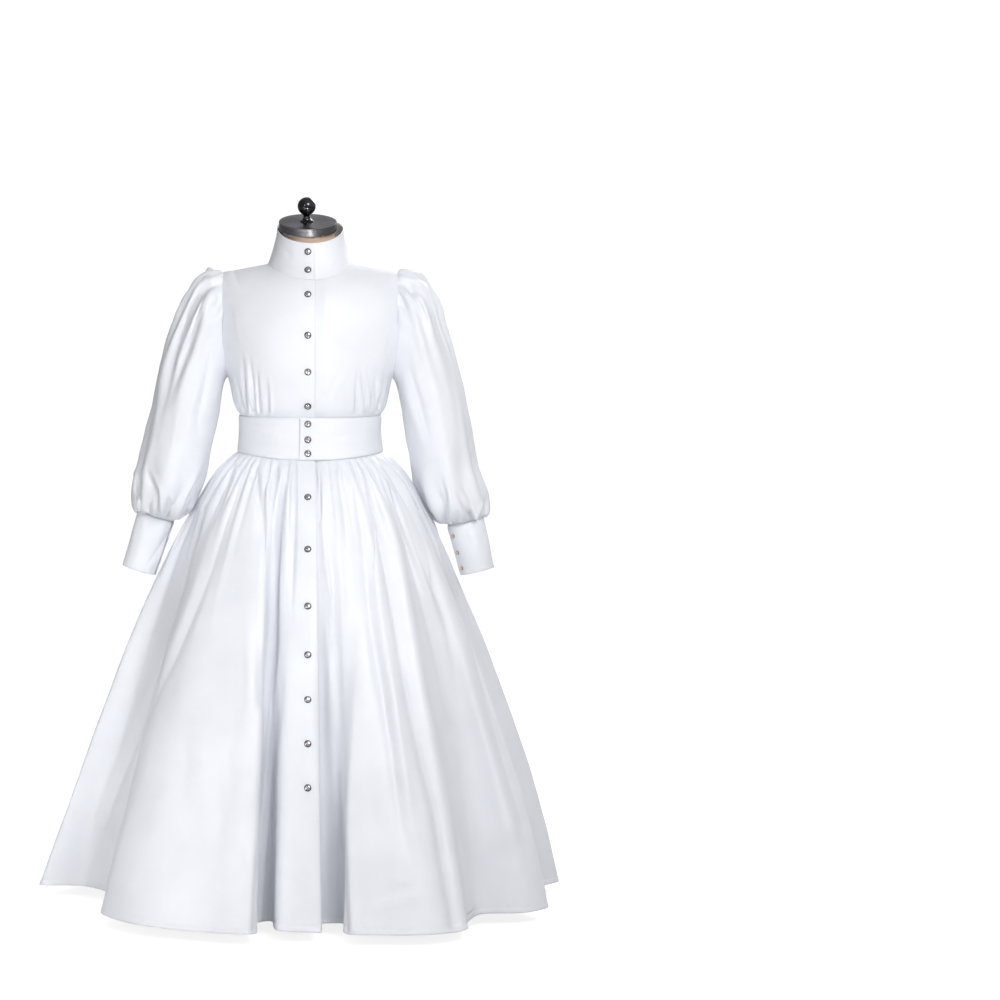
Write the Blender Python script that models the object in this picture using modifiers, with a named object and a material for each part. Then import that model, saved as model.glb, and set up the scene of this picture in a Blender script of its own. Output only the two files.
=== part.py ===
"""A white maid dress on a limbless dress form: snap front, high collar, puffed sleeves with deep cuffs,
a wide waistband and a full gathered skirt. Metres, +Z up, the front faces -Y, the floor is at Z = 0.

The wearer's right is -X. Angles around the body run from the front (0) over +X (90) to the back (180)."""

import math
from collections import namedtuple

import bmesh
import bpy
import numpy as np
from mathutils import Matrix, Vector

COLLECTION = "maid_dress_on_form"

# Cloth
WALL = 0.0016  # one layer of cloth
SEAM = 0.0003  # gap between two pieces that are sewn together
LAYER = WALL + 0.0011  # how far a lapped end lies below the end that covers it

# Front closure: the line of snaps, and how far the covering and the covered edge reach past it
SNAP_LINE = -0.005
FRONT_LAP = 0.0155
BAND_LAP = 0.018
SNAP_RADIUS = 0.0073
SNAP_HEIGHT = 0.0032

# Waistband
BAND_TOP = 1.010
BAND_BACK_RISE = 0.022
BAND_BOTTOM = 0.923
BAND_SIDE_RISE = 0.012
TUCK = 0.007  # bodice and skirt edges run this far under the band

# A lapped end comes back up over this range past the lap, in radians of the turn
BAND_EASE = (0.05, 0.35)
COLLAR_EASE = (0.08, 0.38)
CUFF_EASE = (0.18, 0.68)

# Bodice
UNDERARM = 1.090
CHEST = 1.170  # above this height the chest and back round over to the shoulder seam
SHOULDER_HALF = 0.181
SHOULDER_END = 1.307
NECK_HALF = 0.088
NECK_POINT = 1.324
NECK_FRONT = 1.294
NECK_BACK = 1.355
NECK_FRONT_DEPTH = 0.0970
NECK_BACK_DEPTH = 0.0745
ARMHOLE_DEPTH_SHARE = 0.42
MEASURE_ROW = 3  # columns of the bodice are spread by their angle at this row of its table
BODICE_UNDER_EASE = (0.002, 0.022)  # the covered front comes back up this far past the lap

# Collar
COLLAR_HALF = 0.069
COLLAR_FRONT = 0.068
COLLAR_BACK = 0.062
COLLAR_SIDE_TOP = 1.398
COLLAR_DROP = 0.02525
COLLAR_DIP = 0.00525
COLLAR_LIFT = 0.0018

# Skirt
HEM = 0.024
HEM_HALF = 0.545
HEM_FRONT = 0.515
HEM_BACK = 0.530
FLARE = 0.72  # the skirt leaves the waist steeply, then hangs almost straight
LEFT_FULLNESS = 0.012  # the wearer's left side swells out by this much halfway down
SIDE_SEAM = 92.0
SKIRT_INSET = 0.0030  # the skirt's top edge lies this far inside the band's foot
SKIRT_INSET_FRONT = 0.0056
SKIRT_DROP = 0.0008  # and what shows of it starts this far below the band
FOLD_RATE = 0.8  # a hem fold opens a little faster near its start
CALM = 0.045  # gathers die out this near a seam or the front lap
SKIRT_UNDER_EASE = (0.005, 0.060)
GATHERS = {"front": 12, "back": 24}
COLUMNS_PER_GATHER = 4

# Sleeves
SLEEVE_COLUMNS = 36
SLEEVE_FORWARD = -0.012  # the lower arm hangs a little in front of the shoulder
HEAD_GATHERS = 12
CUFF_GATHERS = 9
SLIT_ROWS = 4  # the sleeve is open over its last rows above the cuff
SLIT_HALF = 0.0012

# Cuffs: the covering end is the front one on the left and the back one on the right
CuffShape = namedtuple("CuffShape", "side top end opening lap travel_sign button_angle")
CUFFS = {
    "left": CuffShape(1, (0.3240, -0.012, 0.7870), (0.3483, -0.020, 0.6857), 165.0, 36.0, 1, 143.0),
    "right": CuffShape(-1, (0.3205, -0.012, 0.7973), (0.3544, -0.020, 0.6883), 156.0, 62.0, -1, 212.0),
}
CUFF_HALF_WIDTH = (0.0405, 0.0368)
CUFF_HALF_DEPTH = (0.0310, 0.0335)
CUFF_BUTTONS = (0.20, 0.54, 0.86)
BUTTON_RADIUS = 0.0046
BUTTON_HEIGHT = 0.0022

# Dress form and stand
NECK_LEAN = 16.0
CAP_RADIUS = 0.060
CAP_THICKNESS = 0.018
CAP_TOP = Vector((-0.005, -0.011, 1.4127))
NECK_RADIUS = 0.0535
KNOB_RADIUS = 0.0188
KNOB_CENTRE = 0.0317
POLE_RADIUS = 0.0125
BASE_RADIUS = 0.200
BASE_THICKNESS = 0.012

BandRow = namedtuple("BandRow", "share half_width front back")
BAND = (
    BandRow(0.0, 0.1520, 0.1200, 0.1110),
    BandRow(0.5, 0.1487, 0.1178, 0.1085),
    BandRow(1.0, 0.1490, 0.1180, 0.1090),
)

BodiceRow = namedtuple("BodiceRow", "height half_width front back")
BODICE = (
    BodiceRow(1.003, 0.1450, 0.1122, 0.1038),
    BodiceRow(1.011, 0.1462, 0.1128, 0.1045),
    BodiceRow(1.026, 0.1535, 0.1205, 0.1105),
    BodiceRow(1.055, 0.1620, 0.1290, 0.1155),
    BodiceRow(1.090, 0.1705, 0.1360, 0.1195),
    BodiceRow(1.130, 0.1770, 0.1395, 0.1235),
    BodiceRow(1.170, 0.1805, 0.1380, 0.1260),
)
ROUND_OVER_SHARES = (0.30, 0.57, 0.82, 1.0)

# Columns of a half bodice in degrees from its centre; the one named NECK_COLUMN ends at the neck point
NECK_COLUMN = 31.0
FRONT_COLUMNS = (4.0, 10.0, 17.0, 24.0, 31.0, 40.5, 46.0, 51.5, 57.0, 62.5, 68.0, 73.5, 79.0, 84.5, 90.0)
BACK_COLUMNS = (6.0, 12.0, 18.0, 24.5, 31.0, 38.0, 46.0, 52.5, 59.0, 65.0, 71.0, 76.5, 82.0, 86.5, 90.0)

# Tucks above the waistband: degrees from the centre, half angle, depth, and the height where each fades out
Tuck = namedtuple("Tuck", "angle spread depth fade")
FRONT_TUCKS = (
    Tuck(46.0, 5.5, 0.0042, 1.125),
    Tuck(57.0, 5.5, 0.0052, 1.145),
    Tuck(68.0, 5.5, 0.0052, 1.120),
    Tuck(79.0, 5.5, 0.0036, 1.095),
)
BACK_TUCKS = (
    Tuck(82.0, 5.5, 0.0050, 1.120),
    Tuck(71.0, 6.0, 0.0052, 1.150),
    Tuck(59.0, 6.5, 0.0034, 1.110),
    Tuck(46.0, 6.5, 0.0028, 1.085),
    Tuck(31.0, 6.5, 0.0026, 1.080),
    Tuck(12.0, 6.0, 0.0024, 1.075),
)

# Hem outline of each skirt piece, a row for each side of each fold: angle, distance from the axis,
# and how far down the skirt (0 at the band, 1 at the hem) that fold begins
HemRow = namedtuple("HemRow", "angle reach start")
HEM_RIGHT = (
    HemRow(-94.5, 0.543, 0.00),
    HemRow(-89.7, 0.566, 0.00),
    HemRow(-87.0, 0.470, 0.10),
    HemRow(-80.0, 0.432, 0.12),
    HemRow(-68.0, 0.401, 0.12),
    HemRow(-61.4, 0.450, 0.12),
    HemRow(-56.8, 0.502, 0.10),
    HemRow(-41.7, 0.537, 0.00),
    HemRow(-24.2, 0.531, 0.00),
    HemRow(-12.4, 0.524, 0.00),
    HemRow(-14.6, 0.415, 0.03),
    HemRow(-12.4, 0.400, 0.03),
    HemRow(-7.1, 0.488, 0.00),
    HemRow(2.4, 0.503, 0.00),
)
HEM_LEFT = (
    HemRow(-3.1, 0.4865, 0.00),
    HemRow(1.7, 0.4930, 0.00),
    HemRow(2.8, 0.420, 0.30),
    HemRow(8.2, 0.422, 0.30),
    HemRow(7.8, 0.524, 0.20),
    HemRow(15.7, 0.554, 0.00),
    HemRow(24.4, 0.582, 0.00),
    HemRow(30.1, 0.581, 0.20),
    HemRow(38.9, 0.504, 0.30),
    HemRow(44.4, 0.482, 0.30),
    HemRow(53.5, 0.547, 0.20),
    HemRow(60.3, 0.556, 0.20),
    HemRow(69.0, 0.461, 0.20),
    HemRow(83.7, 0.492, 0.15),
    HemRow(89.5, 0.526, 0.00),
    HemRow(94.5, 0.520, 0.00),
)
HEM_BACK_PIECE = (
    HemRow(94.5, 0.520, 0.00),
    HemRow(100.2, 0.508, 0.00),
    HemRow(107.5, 0.430, 0.15),
    HemRow(120.0, 0.405, 0.15),
    HemRow(127.5, 0.500, 0.10),
    HemRow(134.1, 0.520, 0.00),
    HemRow(139.1, 0.498, 0.30),
    HemRow(149.6, 0.446, 0.30),
    HemRow(156.5, 0.465, 0.20),
    HemRow(160.0, 0.536, 0.05),
    HemRow(169.5, 0.564, 0.05),
    HemRow(175.5, 0.511, 0.25),
    HemRow(182.2, 0.530, 0.30),
    HemRow(187.6, 0.546, 0.20),
    HemRow(192.2, 0.535, 0.20),
    HemRow(198.0, 0.503, 0.30),
    HemRow(204.2, 0.508, 0.30),
    HemRow(213.2, 0.544, 0.20),
    HemRow(219.9, 0.542, 0.10),
    HemRow(226.4, 0.535, 0.10),
    HemRow(234.5, 0.433, 0.12),
    HemRow(249.4, 0.430, 0.12),
    HemRow(257.0, 0.509, 0.10),
    HemRow(265.5, 0.543, 0.00),
)

# Skirt rows: how far down, and the height of the gathers there
GatherRow = namedtuple("GatherRow", "down height")
SKIRT_ROWS = (
    GatherRow(0.000, 0.0006),
    GatherRow(0.035, 0.0050),
    GatherRow(0.090, 0.0068),
    GatherRow(0.180, 0.0062),
    GatherRow(0.330, 0.0042),
    GatherRow(0.580, 0.0016),
    GatherRow(1.000, 0.0000),
)

# Sleeve rings from the armhole to just above the cuff: where the ring's outer and inner edge lie in the
# XZ plane, its half depth, how much of it is still the armhole's outline, and the height of the gathers
# at the sleeve's head and at its cuff
SleeveRing = namedtuple("SleeveRing", "outer_x outer_z inner_x inner_z half_depth armhole head cuff")
SLEEVES = {
    "left": (
        SleeveRing(0.1818, 1.3070, 0.1712, 1.0900, 0.060, 1.00, 0.0000, 0.0000),
        SleeveRing(0.2020, 1.3120, 0.1770, 1.0845, 0.069, 0.55, 0.0040, 0.0000),
        SleeveRing(0.2340, 1.3005, 0.1800, 1.0750, 0.076, 0.20, 0.0055, 0.0000),
        SleeveRing(0.2585, 1.2600, 0.1845, 1.0450, 0.080, 0.00, 0.0042, 0.0000),
        SleeveRing(0.2800, 1.2000, 0.1900, 1.0100, 0.081, 0.00, 0.0028, 0.0000),
        SleeveRing(0.3120, 1.0950, 0.2030, 0.9500, 0.080, 0.00, 0.0014, 0.0000),
        SleeveRing(0.3335, 0.9900, 0.2135, 0.8930, 0.078, 0.00, 0.0004, 0.0014),
        SleeveRing(0.3500, 0.9050, 0.2185, 0.8680, 0.077, 0.00, 0.0000, 0.0034),
        SleeveRing(0.3655, 0.8500, 0.2300, 0.8420, 0.073, 0.00, 0.0000, 0.0052),
        SleeveRing(0.3690, 0.8120, 0.2450, 0.8120, 0.062, 0.00, 0.0000, 0.0056),
        SleeveRing(0.3650, 0.8005, 0.2680, 0.7880, 0.044, 0.00, 0.0000, 0.0030),
    ),
    "right": (
        SleeveRing(0.1818, 1.3070, 0.1712, 1.0900, 0.060, 1.00, 0.0000, 0.0000),
        SleeveRing(0.2010, 1.3105, 0.1770, 1.0845, 0.069, 0.55, 0.0040, 0.0000),
        SleeveRing(0.2290, 1.2985, 0.1800, 1.0750, 0.076, 0.20, 0.0050, 0.0000),
        SleeveRing(0.2510, 1.2600, 0.1845, 1.0450, 0.080, 0.00, 0.0042, 0.0000),
        SleeveRing(0.2815, 1.2000, 0.1900, 1.0100, 0.081, 0.00, 0.0028, 0.0000),
        SleeveRing(0.3145, 1.0950, 0.2030, 0.9500, 0.080, 0.00, 0.0014, 0.0000),
        SleeveRing(0.3380, 0.9900, 0.2130, 0.8950, 0.078, 0.00, 0.0004, 0.0014),
        SleeveRing(0.3578, 0.9050, 0.2190, 0.8800, 0.077, 0.00, 0.0000, 0.0034),
        SleeveRing(0.3645, 0.8520, 0.2370, 0.8400, 0.072, 0.00, 0.0000, 0.0052),
        SleeveRing(0.3650, 0.8270, 0.2500, 0.8150, 0.061, 0.00, 0.0000, 0.0056),
        SleeveRing(0.3620, 0.8120, 0.2690, 0.7970, 0.043, 0.00, 0.0000, 0.0030),
    ),
}

# Long folds down a sleeve: angle from its outer edge towards the front, half angle, depth
SleeveFold = namedtuple("SleeveFold", "angle spread depth")
SLEEVE_FOLDS = (
    SleeveFold(24.0, 11.0, 0.0035),
    SleeveFold(50.0, 14.0, 0.0045),
    SleeveFold(-30.0, 14.0, 0.0040),
    SleeveFold(-62.0, 15.0, 0.0035),
)

# Rings of the linen body, from its foot to its neck. A sharpness above 1 thins a ring towards its sides
FormRing = namedtuple("FormRing", "height half_width front back sharpness lean")
FORM = (
    FormRing(0.7760, 0.1440, 0.0900, 0.1040, 1.0, 0.0),
    FormRing(0.7840, 0.1580, 0.1010, 0.1150, 1.0, 0.0),
    FormRing(0.8350, 0.1670, 0.1080, 0.1200, 1.0, 0.0),
    FormRing(0.9200, 0.1445, 0.1040, 0.1020, 1.0, 0.0),
    FormRing(0.9750, 0.1415, 0.1015, 0.0975, 1.0, 0.0),
    FormRing(1.0150, 0.1418, 0.1050, 0.0990, 1.0, 0.0),
    FormRing(1.0900, 0.1580, 0.1250, 0.1090, 1.0, 0.0),
    FormRing(1.1600, 0.1660, 0.1290, 0.1160, 1.0, 0.0),
    FormRing(1.2150, 0.1665, 0.1215, 0.1120, 1.0, 0.0),
    FormRing(1.2500, 0.1650, 0.1070, 0.1000, 1.0, 0.0),
    FormRing(1.2780, 0.1600, 0.0880, 0.0830, 1.1, 0.0),
    FormRing(1.2980, 0.1560, 0.0700, 0.0650, 1.4, 0.0),
    FormRing(1.3100, 0.1500, 0.0590, 0.0570, 2.2, 0.0),
    FormRing(1.3145, 0.1200, 0.0560, 0.0550, 2.2, 2.0),
    FormRing(1.3215, 0.0780, 0.0550, 0.0560, 1.4, 5.0),
    FormRing(1.3600, 0.0590, 0.0570, 0.0540, 1.0, 12.0),
)
FORM_COLUMNS = 24

SNAP_HEIGHTS = {
    "collar": (1.3498, 1.3125),
    "bodice": (1.2632, 1.1801, 1.1053, 1.0346),
    "waistband": (0.9977, 0.9655, 0.9371),
    "skirt": (0.8519, 0.7508, 0.6407, 0.5468, 0.4614, 0.3776, 0.2941),
}

# Surface values: colour, roughness, metallic
FINISHES = {
    "white_satin": ((0.86, 0.87, 0.90), 0.42, 0.0),
    "snap_nickel": ((0.34, 0.33, 0.35), 0.25, 1.0),
    "cuff_button": ((0.78, 0.66, 0.60), 0.35, 0.3),
    "linen": ((0.72, 0.58, 0.44), 0.85, 0.0),
    "dark_steel": ((0.20, 0.19, 0.20), 0.30, 1.0),
    "black_stand": ((0.03, 0.03, 0.03), 0.45, 0.2),
}


def smooth_step(low, high, value):
    share = np.clip((value - low) / (high - low), 0.0, 1.0)
    return share * share * (3.0 - 2.0 * share)


def smooth_column(rows, name, at):
    """A column of a table, read at a place along the table's first column on a smooth curve."""
    keys = np.array([row[0] for row in rows], float)
    values = np.array([getattr(row, name) for row in rows], float)
    return smooth_between(keys, values, at)


def smooth_between(keys, values, at):
    """Cubic curve through values at rising keys, flat beyond its ends."""
    slopes = np.gradient(values, keys, axis=0)
    at = np.clip(at, keys[0], keys[-1])
    i = np.clip(np.searchsorted(keys, at) - 1, 0, len(keys) - 2)
    step = keys[i + 1] - keys[i]
    u = (at - keys[i]) / step
    if values.ndim > 1:
        step = step[:, None]
        u = u[:, None]
    return (
        (1 + 2 * u) * (1 - u) ** 2 * values[i]
        + u * (1 - u) ** 2 * step * slopes[i]
        + u * u * (3 - 2 * u) * values[i + 1]
        + u * u * (u - 1) * step * slopes[i + 1]
    )


def new_material(name):
    colour, roughness, metallic = FINISHES[name]
    material = bpy.data.materials.new(name)
    material.use_nodes = True
    shader = material.node_tree.nodes["Principled BSDF"]
    shader.inputs["Base Color"].default_value = (*colour, 1.0)
    shader.inputs["Roughness"].default_value = roughness
    shader.inputs["Metallic"].default_value = metallic
    return material


def add_object(name, mesh, finish):
    obj = bpy.data.objects.new(name, mesh)
    bpy.data.collections[COLLECTION].objects.link(obj)
    if not mesh.materials:
        mesh.materials.append(bpy.data.materials.get(finish) or new_material(finish))
    return obj


def grid_mesh(name, grid, inside, closed=False, slit_from=None):
    """Triangles over rows of points. The two ends of each row are joined when closed, down to the slit."""
    grid = np.asarray(grid, float)
    count, width = grid.shape[:2]
    last = width if slit_from is None else width - 1
    index = np.arange(count * width).reshape(count, width)
    if slit_from is not None:
        index[:slit_from, -1] = index[:slit_from, 0]
    faces = []
    for r in range(count - 1):
        for c in range(last if closed or slit_from is not None else width - 1):
            d = (c + 1) % width
            a, b, e, f = index[r, c], index[r, d], index[r + 1, d], index[r + 1, c]
            faces += [(a, b, e), (a, e, f)]
    points = grid.reshape(-1, 3)
    faces = np.array(faces)
    corners = points[faces]
    normals = np.cross(corners[:, 1] - corners[:, 0], corners[:, 2] - corners[:, 0])
    if (normals * (corners.mean(axis=1) - inside)).sum() < 0:
        faces = faces[:, ::-1]
    used = np.unique(faces)
    mesh = bpy.data.meshes.new(name)
    mesh.from_pydata(points[used].tolist(), [], np.searchsorted(used, faces).tolist())
    mesh.shade_smooth()
    return mesh


def grid_normals(grid, inside):
    """Outward unit normals at the points of a grid."""
    normals = np.cross(np.gradient(grid, axis=1), np.gradient(grid, axis=0))
    normals /= np.linalg.norm(normals, axis=-1, keepdims=True)
    outwards = (normals * (grid - inside)).sum()
    return normals * math.copysign(1.0, outwards)


def add_cloth(name, grid, inside, slit_from=None):
    """A cloth piece: its outer face from a grid of points, thickened inwards."""
    mesh = grid_mesh(name, grid, inside, slit_from=slit_from)
    obj = add_object(name, mesh, "white_satin")
    solidify = obj.modifiers.new("Cloth", "SOLIDIFY")
    solidify.thickness = WALL
    solidify.offset = -1.0
    return obj


def add_turned(name, profile, steps, finish):
    """A turned piece from its profile in the XZ plane, run from the top of the axis to its foot."""
    mesh = bpy.data.meshes.new(name)
    points = [(radius, 0.0, height) for radius, height in profile]
    mesh.from_pydata(points, [(i, i + 1) for i in range(len(points) - 1)], [])
    obj = add_object(name, mesh, finish)
    screw = obj.modifiers.new("Turn", "SCREW")
    screw.steps = steps
    screw.render_steps = steps
    screw.use_merge_vertices = True
    screw.merge_threshold = 0.00001
    screw.use_smooth_shade = True
    return obj


def aim(obj, place, normal):
    """Sets a turned piece's foot on a place, its axis along the normal there."""
    turn = Vector(normal).to_track_quat("Z", "X").to_matrix().to_4x4()
    obj.matrix_world = Matrix.Translation(Vector(place)) @ turn


def under_layer(lap, ease, travel):
    """How far a covered end lies below the one on top of it, by the travel from its edge."""
    start = lap + ease[0]
    return LAYER * (1.0 - smooth_step(start, lap + ease[1], travel))


# Waistband

def band_top(angle):
    return BAND_TOP + BAND_BACK_RISE * smooth_step(0.0, 1.0, -np.cos(angle))


def band_bottom(angle):
    return BAND_BOTTOM + BAND_SIDE_RISE * np.sin(angle) ** 2


def oval(angle, half_width, front, back):
    """Point of a body section: an ellipse with its own depth in front and behind."""
    depth = np.where(np.cos(angle) > 0, front, back)
    return half_width * np.sin(angle), -depth * np.cos(angle)


def band_point(angle, share, drop=0.0):
    half_width = smooth_column(BAND, "half_width", share) - drop
    front = smooth_column(BAND, "front", share) - drop
    back = smooth_column(BAND, "back", share) - drop
    x, y = oval(angle, half_width, front, back)
    z = band_bottom(angle) + (band_top(angle) - band_bottom(angle)) * share
    return np.stack([x, y, z], axis=-1)


def band_angle(x):
    return math.asin(x / BAND[0].half_width)


def make_waistband():
    """One band that runs from its covered end over the wearer's right, round the back to the snaps."""
    start = band_angle(SNAP_LINE + BAND_LAP)
    lap = start - band_angle(SNAP_LINE - BAND_LAP)
    travel = np.linspace(0.0, 2 * math.pi + lap, 41)
    angle = start - travel
    drop = under_layer(lap, BAND_EASE, travel)
    rows = [band_point(angle, np.full_like(angle, share), drop) for share in (0.0, 0.5, 1.0)]
    return add_cloth("waistband", rows, (0.0, 0.0, 0.97))


# Bodice

def armhole_share(level):
    """Depth of the armhole's edge as a share of the chest's depth, from nothing at the underarm."""
    rise = np.clip((CHEST - level) / (CHEST - UNDERARM), 0.0, 1.0)
    return ARMHOLE_DEPTH_SHARE * np.sqrt(1.0 - rise ** 2)


def neckline(x, behind):
    """Height of the neckline, x counted from the centre outwards."""
    if behind:
        return NECK_BACK + (NECK_POINT - NECK_BACK) * (x / NECK_HALF) ** 2
    return NECK_FRONT + (NECK_POINT - NECK_FRONT) * (x / NECK_HALF) ** 2.2


def neck_depth(x, behind):
    return (NECK_BACK_DEPTH if behind else NECK_FRONT_DEPTH) * np.sqrt(1.0 - (x / NECK_HALF) ** 2)


def chest_depth(x, level, behind):
    """Depth of the bodice at a place across, below the level where it rounds over to the shoulder."""
    depth = smooth_column(BODICE, "back" if behind else "front", level)
    share = armhole_share(level)
    half_width = smooth_column(BODICE, "half_width", level)
    return depth * np.sqrt(np.clip(1.0 - (1.0 - share ** 2) * (x / half_width) ** 2, 0.0, None))


def meeting_height(x, behind):
    """Height at which the round-over ends: the shoulder seam, carried on inwards to make the neck oval."""
    slope = (SHOULDER_END - NECK_POINT) / (SHOULDER_HALF - NECK_HALF)
    inner = np.minimum(x, NECK_HALF)
    cosine = neck_depth(inner, behind) / chest_depth(inner, np.full_like(inner, CHEST), behind)
    carried = CHEST + (neckline(inner, behind) - CHEST) / np.sqrt(1.0 - cosine ** 2)
    return np.where(x > NECK_HALF, NECK_POINT + slope * (x - NECK_HALF), carried)


def tuck_swell(tucks, angle, level):
    """Soft ridges of the tucks, deepest just above the band and fading upwards."""
    total = 0.0
    for tuck in tucks:
        across = np.clip((angle - math.radians(tuck.angle)) / math.radians(tuck.spread), -1.0, 1.0)
        rise = smooth_step(BAND_TOP - 0.002, BAND_TOP + 0.016, level)
        fade = 1.0 - smooth_step(BAND_TOP, tuck.fade, level)
        total = total + tuck.depth * (0.5 + 0.5 * np.cos(math.pi * across)) * rise * fade
    return total


def bodice_column(degrees, lap_edge, behind, tucks):
    """One column of a half bodice, waist to neckline or shoulder, as x outwards, depth, height."""
    levels = np.array([row.height for row in BODICE])
    half_width = smooth_column(BODICE, "half_width", levels)
    first = np.arcsin(lap_edge / half_width)
    first_degrees = math.degrees(first[MEASURE_ROW])
    turn = (degrees - first_degrees) / (90.0 - first_degrees)
    angle = first + (math.pi / 2 - first) * turn
    x = half_width * np.sin(angle)
    y = chest_depth(x, levels, behind)
    around = math.pi - angle if behind else angle
    shift = (band_top(around) - BAND_TOP) * (1.0 - smooth_step(BAND_TOP, 1.12, levels))
    out = tuck_swell(tucks, angle, levels)
    lower = np.stack([x + out * np.sin(angle), y + out * np.cos(angle), levels + shift], axis=-1)

    if degrees <= NECK_COLUMN:
        neck_first = math.asin(lap_edge / NECK_HALF)
        across = (degrees - first_degrees) / (NECK_COLUMN - first_degrees)
        top_x = NECK_HALF * math.sin(neck_first + (math.pi / 2 - neck_first) * across)
        top_z = neckline(abs(top_x), behind)
    else:
        across = (degrees - NECK_COLUMN) / (90.0 - NECK_COLUMN)
        top_x = NECK_HALF + (SHOULDER_HALF - NECK_HALF) * across
        top_z = meeting_height(np.array([top_x]), behind)[0]
    rise = (top_z - CHEST) / (meeting_height(np.array([abs(top_x)]), behind)[0] - CHEST)
    shares = np.array(ROUND_OVER_SHARES)
    roll = math.asin(min(rise, 1.0)) * shares
    across = x[-1] + (top_x - x[-1]) * shares ** 2
    z = CHEST + (meeting_height(np.abs(across), behind) - CHEST) * np.sin(roll)
    depth = chest_depth(across, np.full_like(across, CHEST), behind) * np.cos(roll)
    upper = np.stack([across, depth, z], axis=-1)
    return np.concatenate([lower, upper])


def half_bodice(columns, lap_edge, behind, tucks):
    """Grid of a half bodice. Its shoulder seam stops just short of the other half's."""
    grid = np.stack([bodice_column(degrees, lap_edge, behind, tucks) for degrees in columns], axis=1)
    grid[..., 1] = np.maximum(grid[..., 1], 3 * SEAM)
    return grid


def make_bodice_front(name, side, covering):
    """side is -1 for the wearer's right. The covering front reaches past the snaps on top of the other."""
    lap_edge = side * SNAP_LINE - FRONT_LAP
    half_width = BODICE[MEASURE_ROW].half_width
    columns = (math.degrees(math.asin(lap_edge / half_width)), *FRONT_COLUMNS)
    grid = half_bodice(columns, lap_edge, False, FRONT_TUCKS) * (side, -1.0, 1.0)
    if not covering:
        under = under_layer(SNAP_LINE + FRONT_LAP, BODICE_UNDER_EASE, grid[..., 0])
        grid -= grid_normals(grid, (0.0, 0.0, 1.15)) * under[..., None]
    return add_cloth(name, grid, (0.0, 0.0, 1.15))


def make_bodice_back():
    half = half_bodice((0.0, *BACK_COLUMNS), 0.0, True, BACK_TUCKS)
    other = half[:, :0:-1] * (-1.0, 1.0, 1.0)
    return add_cloth("bodice_back", np.concatenate([other, half], axis=1), (0.0, 0.0, 1.15))


# Collar

def neck_ring(angle):
    """The neckline that the collar stands on."""
    x = NECK_HALF * np.sin(angle)
    ahead = np.cos(angle) > 0
    across = np.abs(x)
    y = np.where(ahead, -neck_depth(across, False), neck_depth(across, True))
    z = np.where(ahead, neckline(across, False), neckline(across, True))
    return np.stack([x, y, z], axis=-1)


def collar_point(angle, share, drop):
    """Point of the collar's outer face, which flares at its foot and leans with the neck."""
    foot = neck_ring(angle) + (0.0, 0.0, COLLAR_LIFT)
    x, y = oval(angle, COLLAR_HALF, COLLAR_FRONT, COLLAR_BACK)
    facing = -np.cos(angle)
    top = np.stack([x, y, COLLAR_SIDE_TOP + COLLAR_DROP * facing - COLLAR_DIP * facing ** 2], axis=-1)
    inwards = 1.0 - (1.0 - share) ** 1.6
    point = foot + (top - foot) * np.array([inwards, inwards, share])
    point[..., 0] -= drop * np.sin(angle)
    point[..., 1] += drop * np.cos(angle)
    return point


def make_collar():
    """One stand band, the wearer's right end over the left."""
    start = math.asin((SNAP_LINE - FRONT_LAP) / NECK_HALF)
    lap = math.asin((SNAP_LINE + FRONT_LAP) / NECK_HALF) - start
    travel = np.linspace(0.0, 2 * math.pi + lap, 35)
    drop = under_layer(lap, COLLAR_EASE, travel)
    rows = [collar_point(start + travel, share, drop) for share in (0.0, 0.3, 0.65, 1.0)]
    return add_cloth("collar", rows, (0.0, 0.0, 1.36))


# Skirt

def hem_curve(rows):
    """Smooth hem line of a piece: points with where each fold starts, and the length along it."""
    angle = np.radians([row.angle for row in rows])
    reach = np.array([row.reach for row in rows])
    start = np.array([row.start for row in rows])
    points = np.stack([reach * np.sin(angle), -reach * np.cos(angle), start], axis=-1)
    chord = np.concatenate([[0.0], np.cumsum(np.hypot(*np.diff(points[:, :2], axis=0).T))])
    fine = smooth_between(chord, points, np.linspace(0.0, chord[-1], 1200))
    fine[:, 2] = np.maximum(fine[:, 2], 0.0)
    along = np.concatenate([[0.0], np.cumsum(np.hypot(*np.diff(fine[:, :2], axis=0).T))])
    return fine, along


def skirt_row(hem, waist, share, row, sway):
    """Row of a skirt piece: out from the waist oval towards the hem's envelope, then into its folds."""
    hem_x, hem_y, start = hem
    foot = BAND[0]
    x, y = oval(
        waist, foot.half_width - SKIRT_INSET, foot.front - SKIRT_INSET_FRONT, foot.back - SKIRT_INSET
    )
    out_x, out_y = oval(share, HEM_HALF, HEM_FRONT, HEM_BACK)
    flare = row.down ** FLARE
    fold = np.clip((row.down - start) / (1.0 - start), 0.0, 1.0) ** FOLD_RATE
    fullness = LEFT_FULLNESS * smooth_step(0.55, 1.0, np.sin(share)) * math.sin(math.pi * row.down ** 2.2)
    top = band_bottom(waist) - SKIRT_DROP
    height = row.height * sway
    return np.stack([
        x + flare * (out_x - x) + fold * (hem_x - out_x) + height * np.sin(waist) + fullness,
        y + flare * (out_y - y) + fold * (hem_y - out_y) - height * np.cos(waist),
        top + (HEM - top) * row.down,
    ], axis=-1)


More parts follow.
